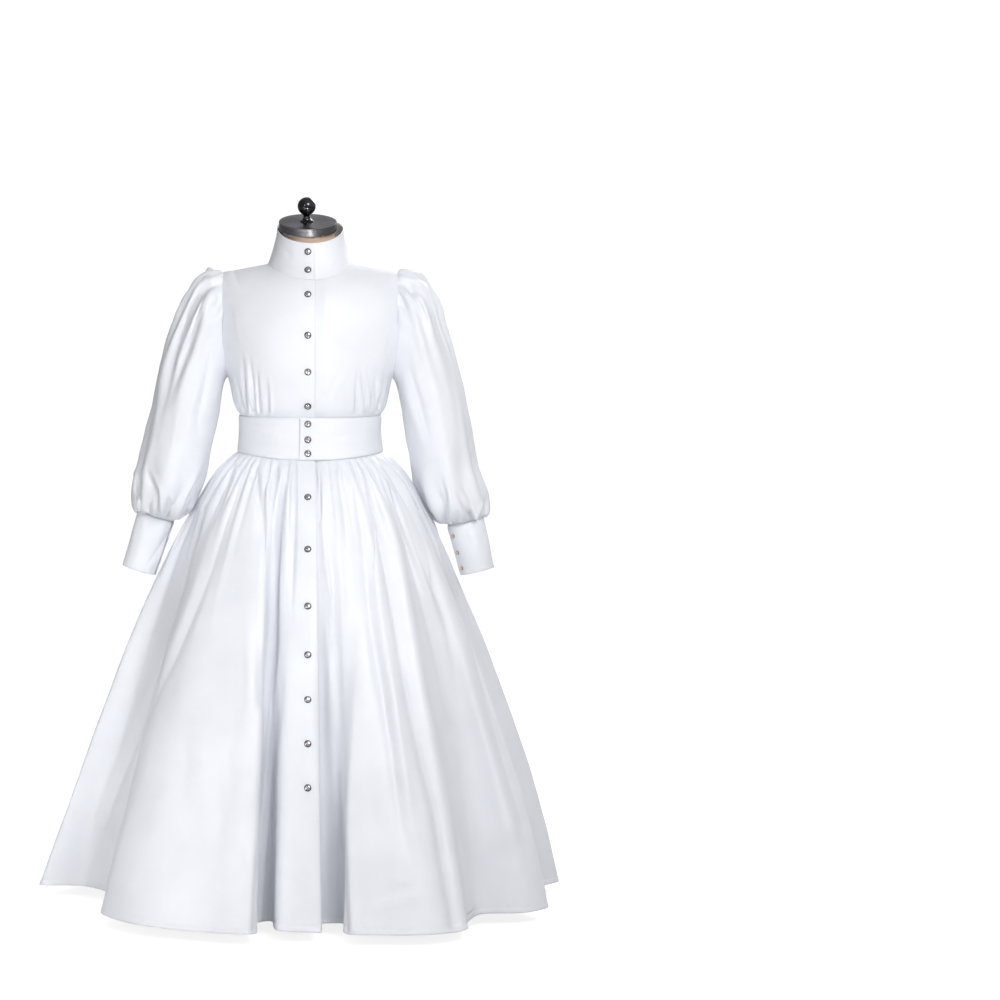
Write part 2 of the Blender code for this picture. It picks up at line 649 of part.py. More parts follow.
def make_skirt_piece(name, rows, waist_ends, gathers, lap_end=None):
    """A skirt piece from its hem table. lap_end is 0 or -1, the end of the row at the front closure."""
    fine, fine_along = hem_curve(rows)
    total = fine_along[-1]
    flat = 2 * FRONT_LAP if lap_end is not None else 0.0
    flat_end = waist_ends[0] + math.copysign(flat / BAND[0].half_width, waist_ends[1] - waist_ends[0])
    along = np.linspace(flat, total, gathers * COLUMNS_PER_GATHER + 1)
    gathered = (along - flat) / (total - flat)
    waist = flat_end + (waist_ends[1] - flat_end) * gathered
    if lap_end is not None:
        along = np.concatenate([[0.0, flat / 2], along])
        gathered = np.concatenate([[0.0, 0.0], gathered])
        waist = np.concatenate([[waist_ends[0], (waist_ends[0] + flat_end) / 2], waist])
    calm = smooth_step(0.0, CALM, total - along) * smooth_step(0.0, CALM, along - flat)
    hem_from = along if lap_end != -1 else total - along
    hem = [np.interp(hem_from, fine_along, fine[:, k]) for k in range(3)]
    ends = np.radians([rows[0].angle, rows[-1].angle])
    share = np.interp(hem_from, [0.0, total], ends)
    uneven = 0.5 * np.sin(5.0 * math.pi * gathered) + 0.4 * np.sin(13.0 * gathered + 1.0)
    depth = (0.78 + 0.22 * np.sin(29.0 * gathered)) * calm
    sway = np.cos(2 * math.pi * gathers * gathered + uneven) * depth
    tucked = skirt_row(hem, waist, share, GatherRow(0.0, 0.0), sway)
    tucked[:, 2] += TUCK
    grid = np.stack([tucked] + [skirt_row(hem, waist, share, row, sway) for row in SKIRT_ROWS])
    if lap_end == 0:
        under = under_layer(flat, SKIRT_UNDER_EASE, along)
        grid -= grid_normals(grid, (0.0, 0.0, 0.5)) * under[None, :, None]
    for end, inner in ((0, 1), (-1, -2)):
        step = grid[:, inner] - grid[:, end]
        grid[:, end] += 1.2 * SEAM * step / np.linalg.norm(step, axis=-1, keepdims=True)
    return add_cloth(name, grid, (0.0, 0.0, 0.5))


def make_skirt():
    over_edge = math.asin((SNAP_LINE + FRONT_LAP) / BAND[0].half_width)
    under_edge = math.asin((SNAP_LINE - FRONT_LAP) / BAND[0].half_width)
    seam = math.radians(SIDE_SEAM)
    make_skirt_piece("skirt_front_right", HEM_RIGHT, (over_edge, -seam), GATHERS["front"], lap_end=-1)
    make_skirt_piece("skirt_front_left", HEM_LEFT, (under_edge, seam), GATHERS["front"], lap_end=0)
    make_skirt_piece("skirt_back", HEM_BACK_PIECE, (seam, 2 * math.pi - seam), GATHERS["back"])


# Sleeves and cuffs

def armhole(angle):
    """The armhole's outline on the +X side, from the shoulder (0) down the front to the underarm (180)."""
    middle = (SHOULDER_END + UNDERARM) / 2
    z = middle + (SHOULDER_END - UNDERARM) / 2 * np.cos(angle)
    level = np.minimum(z, CHEST)
    x = np.where(z > CHEST, SHOULDER_HALF, smooth_column(BODICE, "half_width", level))
    roll = np.arcsin(np.clip((z - CHEST) / (SHOULDER_END - CHEST), 0.0, 1.0))
    ahead = np.sin(angle) > 0
    depth = np.where(ahead, -chest_depth(x, level, False), chest_depth(x, level, True))
    depth = depth * np.cos(roll)
    return np.stack([x + 0.0008, depth, z], axis=-1)


def sleeve_ring(ring, down, angle):
    """One ring of a sleeve on the +X side, its angle from the outer edge over the front."""
    outer = np.array([ring.outer_x, ring.outer_z])
    inner = np.array([ring.inner_x, ring.inner_z])
    centre = (outer + inner) / 2
    half = (outer - inner) / 2
    swell = ring.head * np.cos(HEAD_GATHERS * angle) * smooth_step(-0.25, 0.35, np.cos(angle))
    swell = swell + ring.cuff * np.cos(CUFF_GATHERS * angle + 0.5 * np.sin(2 * angle))
    for fold in SLEEVE_FOLDS:
        off = (np.degrees(angle) - fold.angle + 180.0) % 360.0 - 180.0
        swell = swell - fold.depth * math.sin(math.pi * down) * np.exp(-((off / fold.spread) ** 2))
    across = np.cos(angle)
    ahead = np.sin(angle) * ring.half_depth
    normal = np.stack([across * half[0], -ahead, across * half[1]], axis=-1)
    normal /= np.linalg.norm(normal, axis=-1, keepdims=True)
    forward = SLEEVE_FORWARD * smooth_step(0.1, 0.8, down)
    point = np.stack([centre[0] + half[0] * across, forward - ahead, centre[1] + half[1] * across], -1)
    point = point * (1.0 - ring.armhole) + armhole(angle) * ring.armhole
    return point + normal * swell[:, None]


def make_sleeve(word):
    """Puffed sleeve, gathered at its head and cuff, its last part inside the cuff and open at the slit."""
    cuff = CUFFS[word]
    angle = math.radians(cuff.opening) + np.linspace(0.0, 2 * math.pi, SLEEVE_COLUMNS + 1)
    rings = SLEEVES[word]
    grid = [sleeve_ring(ring, i / len(rings), angle) for i, ring in enumerate(rings)]
    inset = WALL + LAYER + 4 * SEAM
    grid += [cuff_point(cuff, angle, share, inset) for share in (-0.012, 0.06)]
    grid = np.stack(grid)
    for end, inner in ((0, 1), (-1, -2)):
        step = grid[-SLIT_ROWS:, inner] - grid[-SLIT_ROWS:, end]
        grid[-SLIT_ROWS:, end] += SLIT_HALF * step / np.linalg.norm(step, axis=-1, keepdims=True)
    grid *= (cuff.side, 1.0, 1.0)
    inside = grid.reshape(-1, 3).mean(axis=0)
    return add_cloth(f"sleeve_{word}", grid, inside, slit_from=len(grid) - SLIT_ROWS)


def cuff_centre(cuff, share):
    return np.array(cuff.top) + (np.array(cuff.end) - np.array(cuff.top)) * share


def cuff_point(cuff, angle, share, drop=0.0):
    """Point of a cuff's outer face on the +X side, its angle from the outer edge over the front."""
    centre = cuff_centre(cuff, share)
    axis = cuff_centre(cuff, 1.0) - cuff_centre(cuff, 0.0)
    outwards = np.array((-axis[2], 0.0, axis[0])) / np.linalg.norm(axis)
    wide = CUFF_HALF_WIDTH[0] + (CUFF_HALF_WIDTH[1] - CUFF_HALF_WIDTH[0]) * share - drop
    deep = CUFF_HALF_DEPTH[0] + (CUFF_HALF_DEPTH[1] - CUFF_HALF_DEPTH[0]) * share - drop
    point = centre + (wide * np.cos(angle))[:, None] * outwards
    point[:, 1] -= deep * np.sin(angle)
    return point


def make_cuff(word):
    """A band round the wrist, lapped at the opening, with three buttons on its covering end."""
    cuff = CUFFS[word]
    lap = math.radians(cuff.lap)
    travel = np.linspace(0.0, 2 * math.pi + lap, 25)
    angle = math.radians(cuff.opening) + cuff.travel_sign * (travel - lap)
    drop = under_layer(lap, CUFF_EASE, travel)
    grid = np.stack([cuff_point(cuff, angle, share, drop) for share in (0.0, 0.5, 1.0)])
    grid *= (cuff.side, 1.0, 1.0)
    add_cloth(f"cuff_{word}", grid, grid.reshape(-1, 3).mean(axis=0))
    place = math.radians(cuff.button_angle)
    mirror = np.array((cuff.side, 1.0, 1.0))
    for number, share in enumerate(CUFF_BUTTONS, 1):
        steps = ((0.0, 0.0), (0.02, 0.0), (0.0, 0.02))
        patch = [cuff_point(cuff, np.array([place + turn]), share + step)[0] for turn, step in steps]
        normal = np.cross(patch[1] - patch[0], patch[2] - patch[0])
        normal *= math.copysign(1.0, normal @ (patch[0] - cuff_centre(cuff, share)))
        normal = normal / np.linalg.norm(normal) * mirror
        button = add_turned(f"cuff_{word}_button_{number}", button_profile(), 8, "cuff_button")
        aim(button, patch[0] * mirror + normal * SEAM, normal)


def button_profile():
    """Flat disc with a soft rim."""
    return (
        (0.0, BUTTON_HEIGHT * 0.8),
        (BUTTON_RADIUS * 0.8, BUTTON_HEIGHT),
        (BUTTON_RADIUS, BUTTON_HEIGHT * 0.4),
        (BUTTON_RADIUS * 0.9, 0.0),
        (0.0, 0.0),
    )


# Snaps

def snap_profile():
    """Domed cap with a turned-in rim."""
    return (
        (0.0, SNAP_HEIGHT),
        (SNAP_RADIUS * 0.62, SNAP_HEIGHT * 0.80),
        (SNAP_RADIUS, SNAP_HEIGHT * 0.22),
        (SNAP_RADIUS * 0.96, 0.0),
        (0.0, 0.0),
    )


def face_hit(name, height):
    """Where a ray from the front meets a piece on the line of snaps, and the normal there."""
    graph = bpy.context.evaluated_depsgraph_get()
    obj = bpy.data.objects[name].evaluated_get(graph)
    found, place, normal, _ = obj.ray_cast(Vector((SNAP_LINE, -1.0, height)), Vector((0.0, 1.0, 0.0)))
    assert found, name
    return place, normal


def make_snaps():
    bpy.context.view_layer.update()
    carriers = {
        "collar": "collar",
        "bodice": "bodice_front_right",
        "waistband": "waistband",
        "skirt": "skirt_front_right",
    }
    for part, heights in SNAP_HEIGHTS.items():
        for number, height in enumerate(heights, 1):
            place, normal = face_hit(carriers[part], height)
            snap = add_turned(f"snap_{part}_{number}", snap_profile(), 8, "snap_nickel")
            aim(snap, place + normal * 2 * SEAM, normal)


# Dress form and stand

def make_form():
    """Linen body without arms or head, closed above and below, its neck leaning forward under the cap."""
    angle = np.linspace(0.0, 2 * math.pi, FORM_COLUMNS, endpoint=False)
    rings = []
    for ring in FORM:
        x, y = oval(angle, ring.half_width, ring.front, ring.back)
        y = y * np.abs(np.cos(angle)) ** (ring.sharpness - 1.0)
        rings.append(np.stack([x, y, ring.height + math.tan(math.radians(ring.lean)) * y], axis=-1))
    lean = math.radians(NECK_LEAN)
    up = np.array([0.0, -math.sin(lean), math.cos(lean)])
    forward = np.array([0.0, -math.cos(lean), -math.sin(lean)])
    top = np.array(CAP_TOP) - up * (CAP_THICKNESS + SEAM)
    circle = np.sin(angle)[:, None] * np.array([1.0, 0.0, 0.0]) + np.cos(angle)[:, None] * forward
    rings.append(top - up * 0.006 + NECK_RADIUS * circle)
    rings.append(top + NECK_RADIUS * circle)
    mesh = grid_mesh("form_torso", rings, (0.0, 0.0, 1.05), closed=True)
    bm = bmesh.new()
    bm.from_mesh(mesh)
    bmesh.ops.holes_fill(bm, edges=[edge for edge in bm.edges if edge.is_boundary])
    bmesh.ops.recalc_face_normals(bm, faces=bm.faces)
    bm.to_mesh(mesh)
    bm.free()
    return add_object("form_torso", mesh, "linen")


def make_cap_and_knob():
    lean = math.radians(NECK_LEAN)
    up = Vector((0.0, -math.sin(lean), math.cos(lean)))
    edge = 0.0012
    cap = add_turned("form_neck_cap", (
        (0.0, CAP_THICKNESS),
        (CAP_RADIUS - edge, CAP_THICKNESS),
        (CAP_RADIUS, CAP_THICKNESS - edge),
        (CAP_RADIUS, edge),
        (CAP_RADIUS - edge, 0.0),
        (0.0, 0.0),
    ), 28, "dark_steel")
    aim(cap, CAP_TOP - up * CAP_THICKNESS, up)
    turns = np.radians(range(0, 156, 25))
    ball = [(KNOB_RADIUS * math.sin(a), KNOB_CENTRE + KNOB_RADIUS * math.cos(a)) for a in turns]
    stem = [(0.0065, 0.0125), (0.0078, 0.0060), (0.0135, 0.0)]
    knob = add_turned("form_knob", ball + stem + [(0.0, 0.0)], 16, "dark_steel")
    aim(knob, CAP_TOP + up * SEAM + Vector((-0.0025, 0.0, 0.0)), up)


def make_stand():
    foot = BASE_THICKNESS
    add_turned("form_base", (
        (0.0, foot + 0.016),
        (0.022, foot + 0.016),
        (0.026, foot + 0.004),
        (BASE_RADIUS - 0.010, foot),
        (BASE_RADIUS, foot * 0.5),
        (BASE_RADIUS, 0.0),
        (0.0, 0.0),
    ), 24, "black_stand")
    bottom = foot + 0.016 + SEAM
    top = FORM[0].height - SEAM
    pole = ((0.0, top), (POLE_RADIUS, top), (POLE_RADIUS, bottom), (0.0, bottom))
    add_turned("form_pole", pole, 12, "black_stand")


def clear_scene():
    for obj in list(bpy.data.objects):
        bpy.data.objects.remove(obj)
    bpy.context.scene.collection.children.link(bpy.data.collections.new(COLLECTION))


def build():
    clear_scene()
    make_form()
    make_cap_and_knob()
    make_stand()
    make_bodice_front("bodice_front_right", -1, True)
    make_bodice_front("bodice_front_left", 1, False)
    make_bodice_back()
    make_collar()
    make_waistband()
    make_skirt()
    for word in CUFFS:
        make_sleeve(word)
        make_cuff(word)
    make_snaps()


build()
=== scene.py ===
"""A white maid dress on a limbless dress form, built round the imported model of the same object.

Metres, +Z up, the front faces -Y. The wearer's right is -X. Angles round the body run from the front (0)
over +X (90) to the back (180)."""

import math
from collections import namedtuple

import bmesh
import bpy
import numpy as np
from mathutils import Matrix, Vector, noise


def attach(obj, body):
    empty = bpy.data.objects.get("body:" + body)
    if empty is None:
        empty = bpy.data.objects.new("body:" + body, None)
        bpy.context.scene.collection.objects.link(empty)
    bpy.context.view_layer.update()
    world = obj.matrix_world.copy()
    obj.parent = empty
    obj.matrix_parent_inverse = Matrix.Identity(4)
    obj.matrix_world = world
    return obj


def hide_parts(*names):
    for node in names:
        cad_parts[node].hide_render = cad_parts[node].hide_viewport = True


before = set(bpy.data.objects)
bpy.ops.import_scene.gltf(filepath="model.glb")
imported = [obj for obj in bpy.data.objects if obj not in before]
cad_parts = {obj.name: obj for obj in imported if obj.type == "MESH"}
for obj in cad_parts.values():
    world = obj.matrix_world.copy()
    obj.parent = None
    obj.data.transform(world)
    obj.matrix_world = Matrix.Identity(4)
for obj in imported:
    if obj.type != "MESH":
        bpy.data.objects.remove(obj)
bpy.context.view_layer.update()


# The stand: a round foot of pressed steel with a short socket, and a steel tube that drops into it.
# Both are powder coated black. The tube carries the body.

FOOT_RADIUS = 0.200
FOOT_THICKNESS = 0.012
SOCKET_HEIGHT = 0.016
TUBE_RADIUS = 0.0125
TUBE_RING = (0.575, 0.62)  # heights of the ring on the tube
RING_WALL = 0.0018
BODY_FOOT = 0.7760
FIT = 0.0003  # gap between pieces that stand on each other
POWDER_BLACK = (0.022, 0.022, 0.024)
POWDER_DUSTY = (0.060, 0.060, 0.058)
SHARP_EDGE = math.radians(42.0)  # turned edges sharper than this stay crisp


def finish_of(name, colour, roughness, metallic=0.0, **sockets):
    """A material whose even values sit on the shader's own sockets."""
    material = bpy.data.materials.new(name)
    material.use_nodes = True
    shader = material.node_tree.nodes["Principled BSDF"]
    shader.inputs["Base Color"].default_value = (*colour, 1.0)
    shader.inputs["Roughness"].default_value = roughness
    shader.inputs["Metallic"].default_value = metallic
    for socket, value in sockets.items():
        shader.inputs[socket.replace("_", " ")].default_value = value
    return material


def add_node(material, kind, inputs=(), **settings):
    """A node of a material. inputs are pairs of a socket and its value or the output that feeds it."""
    made = material.node_tree.nodes.new("ShaderNode" + kind)
    for field, value in settings.items():
        setattr(made, field, value)
    for socket, value in inputs:
        if isinstance(value, bpy.types.NodeSocket):
            material.node_tree.links.new(value, made.inputs[socket])
        else:
            made.inputs[socket].default_value = value
    return made


def into_shader(material, **outputs):
    """Feeds the shader's sockets of these names, and gives the material back."""
    shader = material.node_tree.nodes["Principled BSDF"]
    for socket, output in outputs.items():
        material.node_tree.links.new(output, shader.inputs[socket.replace("_", " ")])
    return material


def object_place(material):
    return add_node(material, "TexCoord").outputs["Object"]


def noise_of(material, place, scale, detail=3.0, roughness=0.5):
    inputs = (("Vector", place), ("Scale", scale), ("Detail", detail), ("Roughness", roughness))
    return add_node(material, "TexNoise", inputs).outputs[0]


def between(material, value, low, high, start=0.35, end=0.65, **settings):
    """A value in the range start to end, carried over to low to high."""
    inputs = (("Value", value), ("From Min", start), ("From Max", end), ("To Min", low), ("To Max", high))
    return add_node(material, "MapRange", inputs, **settings).outputs[0]


def tint(material, value, first, second):
    """The colour between two colours that a value picks."""
    mix = add_node(material, "Mix", data_type="RGBA")
    material.node_tree.links.new(value, mix.inputs[0])
    mix.inputs[6].default_value = (*first, 1.0)
    mix.inputs[7].default_value = (*second, 1.0)
    return mix.outputs[2]


def relief(material, height, strength, distance, below=None):
    """A bump node over another one's normal."""
    inputs = [("Strength", strength), ("Distance", distance), ("Height", height)]
    if below is not None:
        inputs.append(("Normal", below))
    return add_node(material, "Bump", inputs).outputs[0]


def powder_coat():
    """Satin black with the orange-peel of baked powder and a little dust on it."""
    material = finish_of("black_powder_coat", POWDER_BLACK, 0.45)
    place = object_place(material)
    peel = noise_of(material, place, 900.0, 2.0)
    dust = noise_of(material, place, 14.0, 6.0, 0.65)
    return into_shader(
        material,
        Base_Color=tint(material, between(material, dust, 0.0, 1.0, 0.5, 0.8), POWDER_BLACK, POWDER_DUSTY),
        Roughness=between(material, dust, 0.38, 0.58),
        Normal=relief(material, peel, 0.25, 0.0004),
    )


def mesh_piece(name, points, faces, material):
    mesh = bpy.data.meshes.new(name)
    mesh.from_pydata(points, [], faces)
    mesh.shade_smooth()
    mesh.materials.append(material)
    obj = bpy.data.objects.new(name, mesh)
    bpy.context.scene.collection.objects.link(obj)
    return obj


def turned(name, profile, steps, material):
    """A piece turned on a lathe from pairs of radius and height, from the top of its axis to its foot."""
    turns = np.linspace(0.0, 2 * math.pi, steps, endpoint=False)
    points = []
    rings = []
    for radius, height in profile:
        if radius == 0.0:
            rings.append([len(points)] * steps)
            points.append((0.0, 0.0, height))
        else:
            rings.append(range(len(points), len(points) + steps))
            points += [(radius * math.cos(turn), radius * math.sin(turn), height) for turn in turns]
    faces = []
    for above, below in zip(rings, rings[1:]):
        for i in range(steps):
            j = (i + 1) % steps
            faces.append(list(dict.fromkeys((above[i], below[i], below[j], above[j]))))
    obj = mesh_piece(name, points, faces, material)
    obj.data.set_sharp_from_angle(angle=SHARP_EDGE)
    return obj


def stands_for(obj, slot, *nodes):
    """The piece rides with the object and stands for these nodes, which it hides. Its slot is not used."""
    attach(obj, "root")
    if nodes:
        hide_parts(*nodes)
    return obj


black_coat = powder_coat()
socket_top = FOOT_THICKNESS + SOCKET_HEIGHT
foot = turned("stand_foot", (
    (0.0, socket_top),
    (0.0205, socket_top),
    (0.0218, socket_top - 0.0012),
    (0.0230, FOOT_THICKNESS + 0.009),
    (0.0262, FOOT_THICKNESS + 0.0040),
    (0.0300, FOOT_THICKNESS + 0.0030),
    (FOOT_RADIUS - 0.0120, FOOT_THICKNESS),
    (FOOT_RADIUS - 0.0050, FOOT_THICKNESS - 0.0008),
    (FOOT_RADIUS - 0.0012, FOOT_THICKNESS - 0.0032),
    (FOOT_RADIUS, FOOT_THICKNESS * 0.5),
    (FOOT_RADIUS - 0.0008, 0.0010),
    (FOOT_RADIUS - 0.0030, 0.0),
    (0.0, 0.0),
), 96, black_coat)
stands_for(foot, "black_stand", "form_base")
tube = turned("stand_tube", (
    (0.0, BODY_FOOT - FIT),
    (TUBE_RADIUS, BODY_FOOT - FIT),
    (TUBE_RADIUS, TUBE_RING[1]),
    (TUBE_RADIUS + RING_WALL, TUBE_RING[1]),
    (TUBE_RADIUS + RING_WALL, TUBE_RING[0]),
    (TUBE_RADIUS, TUBE_RING[0]),
    (TUBE_RADIUS, socket_top + FIT),
    (0.0, socket_top + FIT),
), 40, black_coat)
stands_for(tube, "black_stand", "form_pole")


# The body of the dress form: papier-mache without arms or head, covered in natural linen that is glued
# down tight. It is closed at its foot and neck, and the dress rests on it. Its neck leans forward.


def table(kind, *rows):
    """Rows of a table, all of one kind, whose columns have names."""
    return [kind(*row) for row in rows]


FormRing = namedtuple("FormRing", "height half_width front back sharpness lean")
FORM = table(
    FormRing,
    (0.7760, 0.1440, 0.0900, 0.1040, 1.0, 0.0),
    (0.7840, 0.1580, 0.1010, 0.1150, 1.0, 0.0),
    (0.8350, 0.1670, 0.1080, 0.1200, 1.0, 0.0),
    (0.9200, 0.1445, 0.1040, 0.1020, 1.0, 0.0),
    (0.9750, 0.1415, 0.1015, 0.0975, 1.0, 0.0),
    (1.0150, 0.1418, 0.1050, 0.0990, 1.0, 0.0),
    (1.0900, 0.1580, 0.1250, 0.1090, 1.0, 0.0),
    (1.1600, 0.1660, 0.1290, 0.1160, 1.0, 0.0),
    (1.2150, 0.1665, 0.1215, 0.1120, 1.0, 0.0),
    (1.2500, 0.1650, 0.1070, 0.1000, 1.0, 0.0),
    (1.2780, 0.1600, 0.0880, 0.0830, 1.1, 0.0),
    (1.2980, 0.1560, 0.0700, 0.0650, 1.4, 0.0),
    (1.3100, 0.1500, 0.0590, 0.0570, 2.2, 0.0),
    (1.3145, 0.1200, 0.0560, 0.0550, 2.2, 2.0),
    (1.3215, 0.0780, 0.0550, 0.0560, 1.4, 5.0),
    (1.3600, 0.0590, 0.0570, 0.0540, 1.0, 12.0),
)
FORM_COLUMNS = 96
ROWS_BETWEEN_RINGS = 6
NECK_LEAN = math.radians(16.0)
NECK_RADIUS = 0.0535
NECK_ROLL = 0.0035
NECK_EDGE = 0.006  # length of the last even ring below the roll
CAP_THICKNESS = 0.018
CAP_TOP = Vector((-0.005, -0.011, 1.4127))
FORM_MIDDLE = (0.0, 0.0, 1.05)
LINEN_SUNK = 0.0003  # the finer body stays just inside the plain one
LINEN_THREADS = 300.0
LINEN = (0.80, 0.63, 0.50)
LINEN_DARK = (0.66, 0.49, 0.37)


def reckon(material, operation, first, second):
    return add_node(material, "Math", ((0, first), (1, second)), operation=operation).outputs[0]


def bands_of(material, place, scale, distortion, direction):
    inputs = (("Vector", place), ("Scale", scale), ("Distortion", distortion))
    return add_node(material, "TexWave", inputs, bands_direction=direction).outputs[1]


def weave_of(material, place, warp, weft, distortion):
    """Crossing threads: the warp's stand side by side along X, the weft's along Z."""
    across = bands_of(material, place, warp, distortion, "X")
    return reckon(material, "ADD", across, bands_of(material, place, weft, distortion, "Z"))


def linen_cloth():
    """Plain linen weave: crossing threads of uneven thickness, with darker slubs."""
    material = finish_of("natural_linen", LINEN, 0.85, Sheen_Weight=0.15)
    place = object_place(material)
    uneven = noise_of(material, place, 60.0, 4.0)
    weave = weave_of(material, place, LINEN_THREADS, LINEN_THREADS, 1.2)
    shade = between(material, reckon(material, "MULTIPLY", weave, uneven), 0.0, 1.0, 0.2, 0.8)
    return into_shader(
        material,
        Base_Color=tint(material, shade, LINEN_DARK, LINEN),
        Roughness=between(material, uneven, 0.78, 0.94),
        Normal=relief(material, weave, 0.5, 0.0003),
    )


def smooth_step(low, high, value):
    share = np.clip((value - low) / (high - low), 0.0, 1.0)
    return share * share * (3.0 - 2.0 * share)


def smooth_between(keys, values, at):
    """Cubic curve through values at rising keys, flat beyond its ends. Values may be rows of points."""
    slopes = np.gradient(values, keys, axis=0)
    at = np.clip(at, keys[0], keys[-1])
    i = np.clip(np.searchsorted(keys, at) - 1, 0, len(keys) - 2)
    step = keys[i + 1] - keys[i]
    u = (at - keys[i]) / step
    shape = np.shape(at) + (1,) * (np.ndim(values) - 1)
    step = np.reshape(step, shape)
    u = np.reshape(u, shape)
    return (
        (1 + 2 * u) * (1 - u) ** 2 * values[i]
        + u * (1 - u) ** 2 * step * slopes[i]
        + u * u * (3 - 2 * u) * values[i + 1]
        + u * u * (u - 1) * step * slopes[i + 1]
    )


def smooth_column(rows, name, at):
    """A column of a table, read at a place along the table's first column on a smooth curve."""
    keys = np.array([row[0] for row in rows], float)
    values = np.array([getattr(row, name) for row in rows], float)
    return smooth_between(keys, values, at)


def oval(angle, half_width, front, back):
    """Point of a body section: an ellipse with its own depth in front and behind."""
    depth = np.where(np.cos(angle) > 0, front, back)
    return half_width * np.sin(angle), -depth * np.cos(angle)


def split_rows(rows, parts):
    """Rows of points with more rows in between, on smooth curves down the piece."""
    steps = np.linalg.norm(np.diff(rows, axis=0), axis=-1).mean(axis=1)
    keys = np.concatenate([[0.0], np.cumsum(steps)])
    at = np.interp(np.arange(0, (len(rows) - 1) * parts + 1) / parts, np.arange(len(rows)), keys)
    return smooth_between(keys, rows, at)


def grid_faces(grid, inside, slit_from=None):
    """Quads over rows of points, facing away from a place inside. With a slit, the two ends of each row
    are one point down to that row."""
    count, width = grid.shape[:2]
    index = np.arange(count * width).reshape(count, width)
    if slit_from is not None:
        index[:slit_from, -1] = index[:slit_from, 0]
    faces = np.stack([index[:-1, :-1], index[:-1, 1:], index[1:, 1:], index[1:, :-1]], axis=-1).reshape(-1, 4)
    points = grid.reshape(-1, 3)
    corners = points[faces]
    normals = np.cross(corners[:, 2] - corners[:, 0], corners[:, 3] - corners[:, 1])
    if (normals * (corners.mean(axis=1) - inside)).sum() < 0:
        faces = faces[:, ::-1]
    used = np.unique(faces)
    return points[used].tolist(), np.searchsorted(used, faces).tolist()


def face_outwards(obj, close_holes=False):
    bm = bmesh.new()
    bm.from_mesh(obj.data)
    if close_holes:
        bmesh.ops.holes_fill(bm, edges=[edge for edge in bm.edges if edge.is_boundary])
    bmesh.ops.recalc_face_normals(bm, faces=bm.faces)
    bm.to_mesh(obj.data)
    bm.free()


def make_body():
    """The linen body: smooth rings from its foot to its neck, capped at both ends."""
    angle = np.linspace(0.0, 2 * math.pi, FORM_COLUMNS + 1)
    rings = []
    for ring in FORM:
        x, y = oval(angle, ring.half_width - LINEN_SUNK, ring.front - LINEN_SUNK, ring.back - LINEN_SUNK)
        y = y * np.abs(np.cos(angle)) ** (ring.sharpness - 1.0)
        rings.append(np.stack([x, y, ring.height + math.tan(math.radians(ring.lean)) * y], axis=-1))
    up = np.array([0.0, -math.sin(NECK_LEAN), math.cos(NECK_LEAN)])
    forward = np.array([0.0, -math.cos(NECK_LEAN), -math.sin(NECK_LEAN)])
    circle = np.sin(angle)[:, None] * np.array([1.0, 0.0, 0.0]) + np.cos(angle)[:, None] * forward
    top = np.array(CAP_TOP) - up * (CAP_THICKNESS + FIT)
    rings.append(top - up * NECK_EDGE + NECK_RADIUS * circle)
    grid = split_rows(np.stack(rings), ROWS_BETWEEN_RINGS)
    roll = []
    for turn in np.radians((0.0, 22.5, 45.0, 67.5, 90.0)):
        narrower = NECK_RADIUS - NECK_ROLL * (1 - math.cos(turn))
        roll.append(top - up * NECK_ROLL * (1 - math.sin(turn)) + narrower * circle)
    points, faces = grid_faces(np.concatenate([grid, roll]), FORM_MIDDLE, slit_from=len(grid) + len(roll))
    body = mesh_piece("linen_body", points, faces, linen_cloth())
    face_outwards(body, close_holes=True)
    return body


stands_for(make_body(), "linen", "form_torso")


# The neck cap and the knob on it: turned steel, blackened and brushed in rings, the knob polished.
# The knob screws the cap onto the neck, and the dress form is lifted by it.

CAP_RADIUS = 0.060
CAP_EDGE = 0.0014
KNOB_RADIUS = 0.0188
KNOB_CENTRE = 0.0317
KNOB_ASIDE = Vector((-0.0025, 0.0, 0.0))
STEEL = (0.130, 0.128, 0.138)
STEEL_DARK = (0.050, 0.048, 0.054)
STEEL_BRIGHT = (0.44, 0.43, 0.45)
BRUSH_MARKS = (6.0, 6.0, 420.0)  # the marks run round the axis, so they are close together along it


def brushed_steel(name, colour, roughness, streaks):
    """Blackened steel with fine turning marks round its own axis."""
    material = finish_of(name, colour, roughness, 1.0, Anisotropic=0.4)
    place = object_place(material)
    turn = add_node(material, "Mapping", (("Vector", place), ("Scale", BRUSH_MARKS))).outputs[0]
    lines = noise_of(material, turn, 1.0, 5.0, 0.7)
    smudge = noise_of(material, place, 30.0, 3.0)
    return into_shader(
        material,
        Base_Color=tint(material, between(material, lines, 0.0, streaks, 0.4, 0.75), colour, STEEL_BRIGHT),
        Roughness=between(material, smudge, roughness - 0.05, roughness + 0.09),
        Normal=relief(material, lines, 0.12, 0.0003),
    )


neck_up = Vector((0.0, -math.sin(NECK_LEAN), math.cos(NECK_LEAN)))


def aim(obj, place, normal):
    """Sets a turned piece's foot on a place, its axis along the normal there."""
    turn = Vector(normal).to_track_quat("Z", "X").to_matrix().to_4x4()
    obj.matrix_world = Matrix.Translation(Vector(place)) @ turn


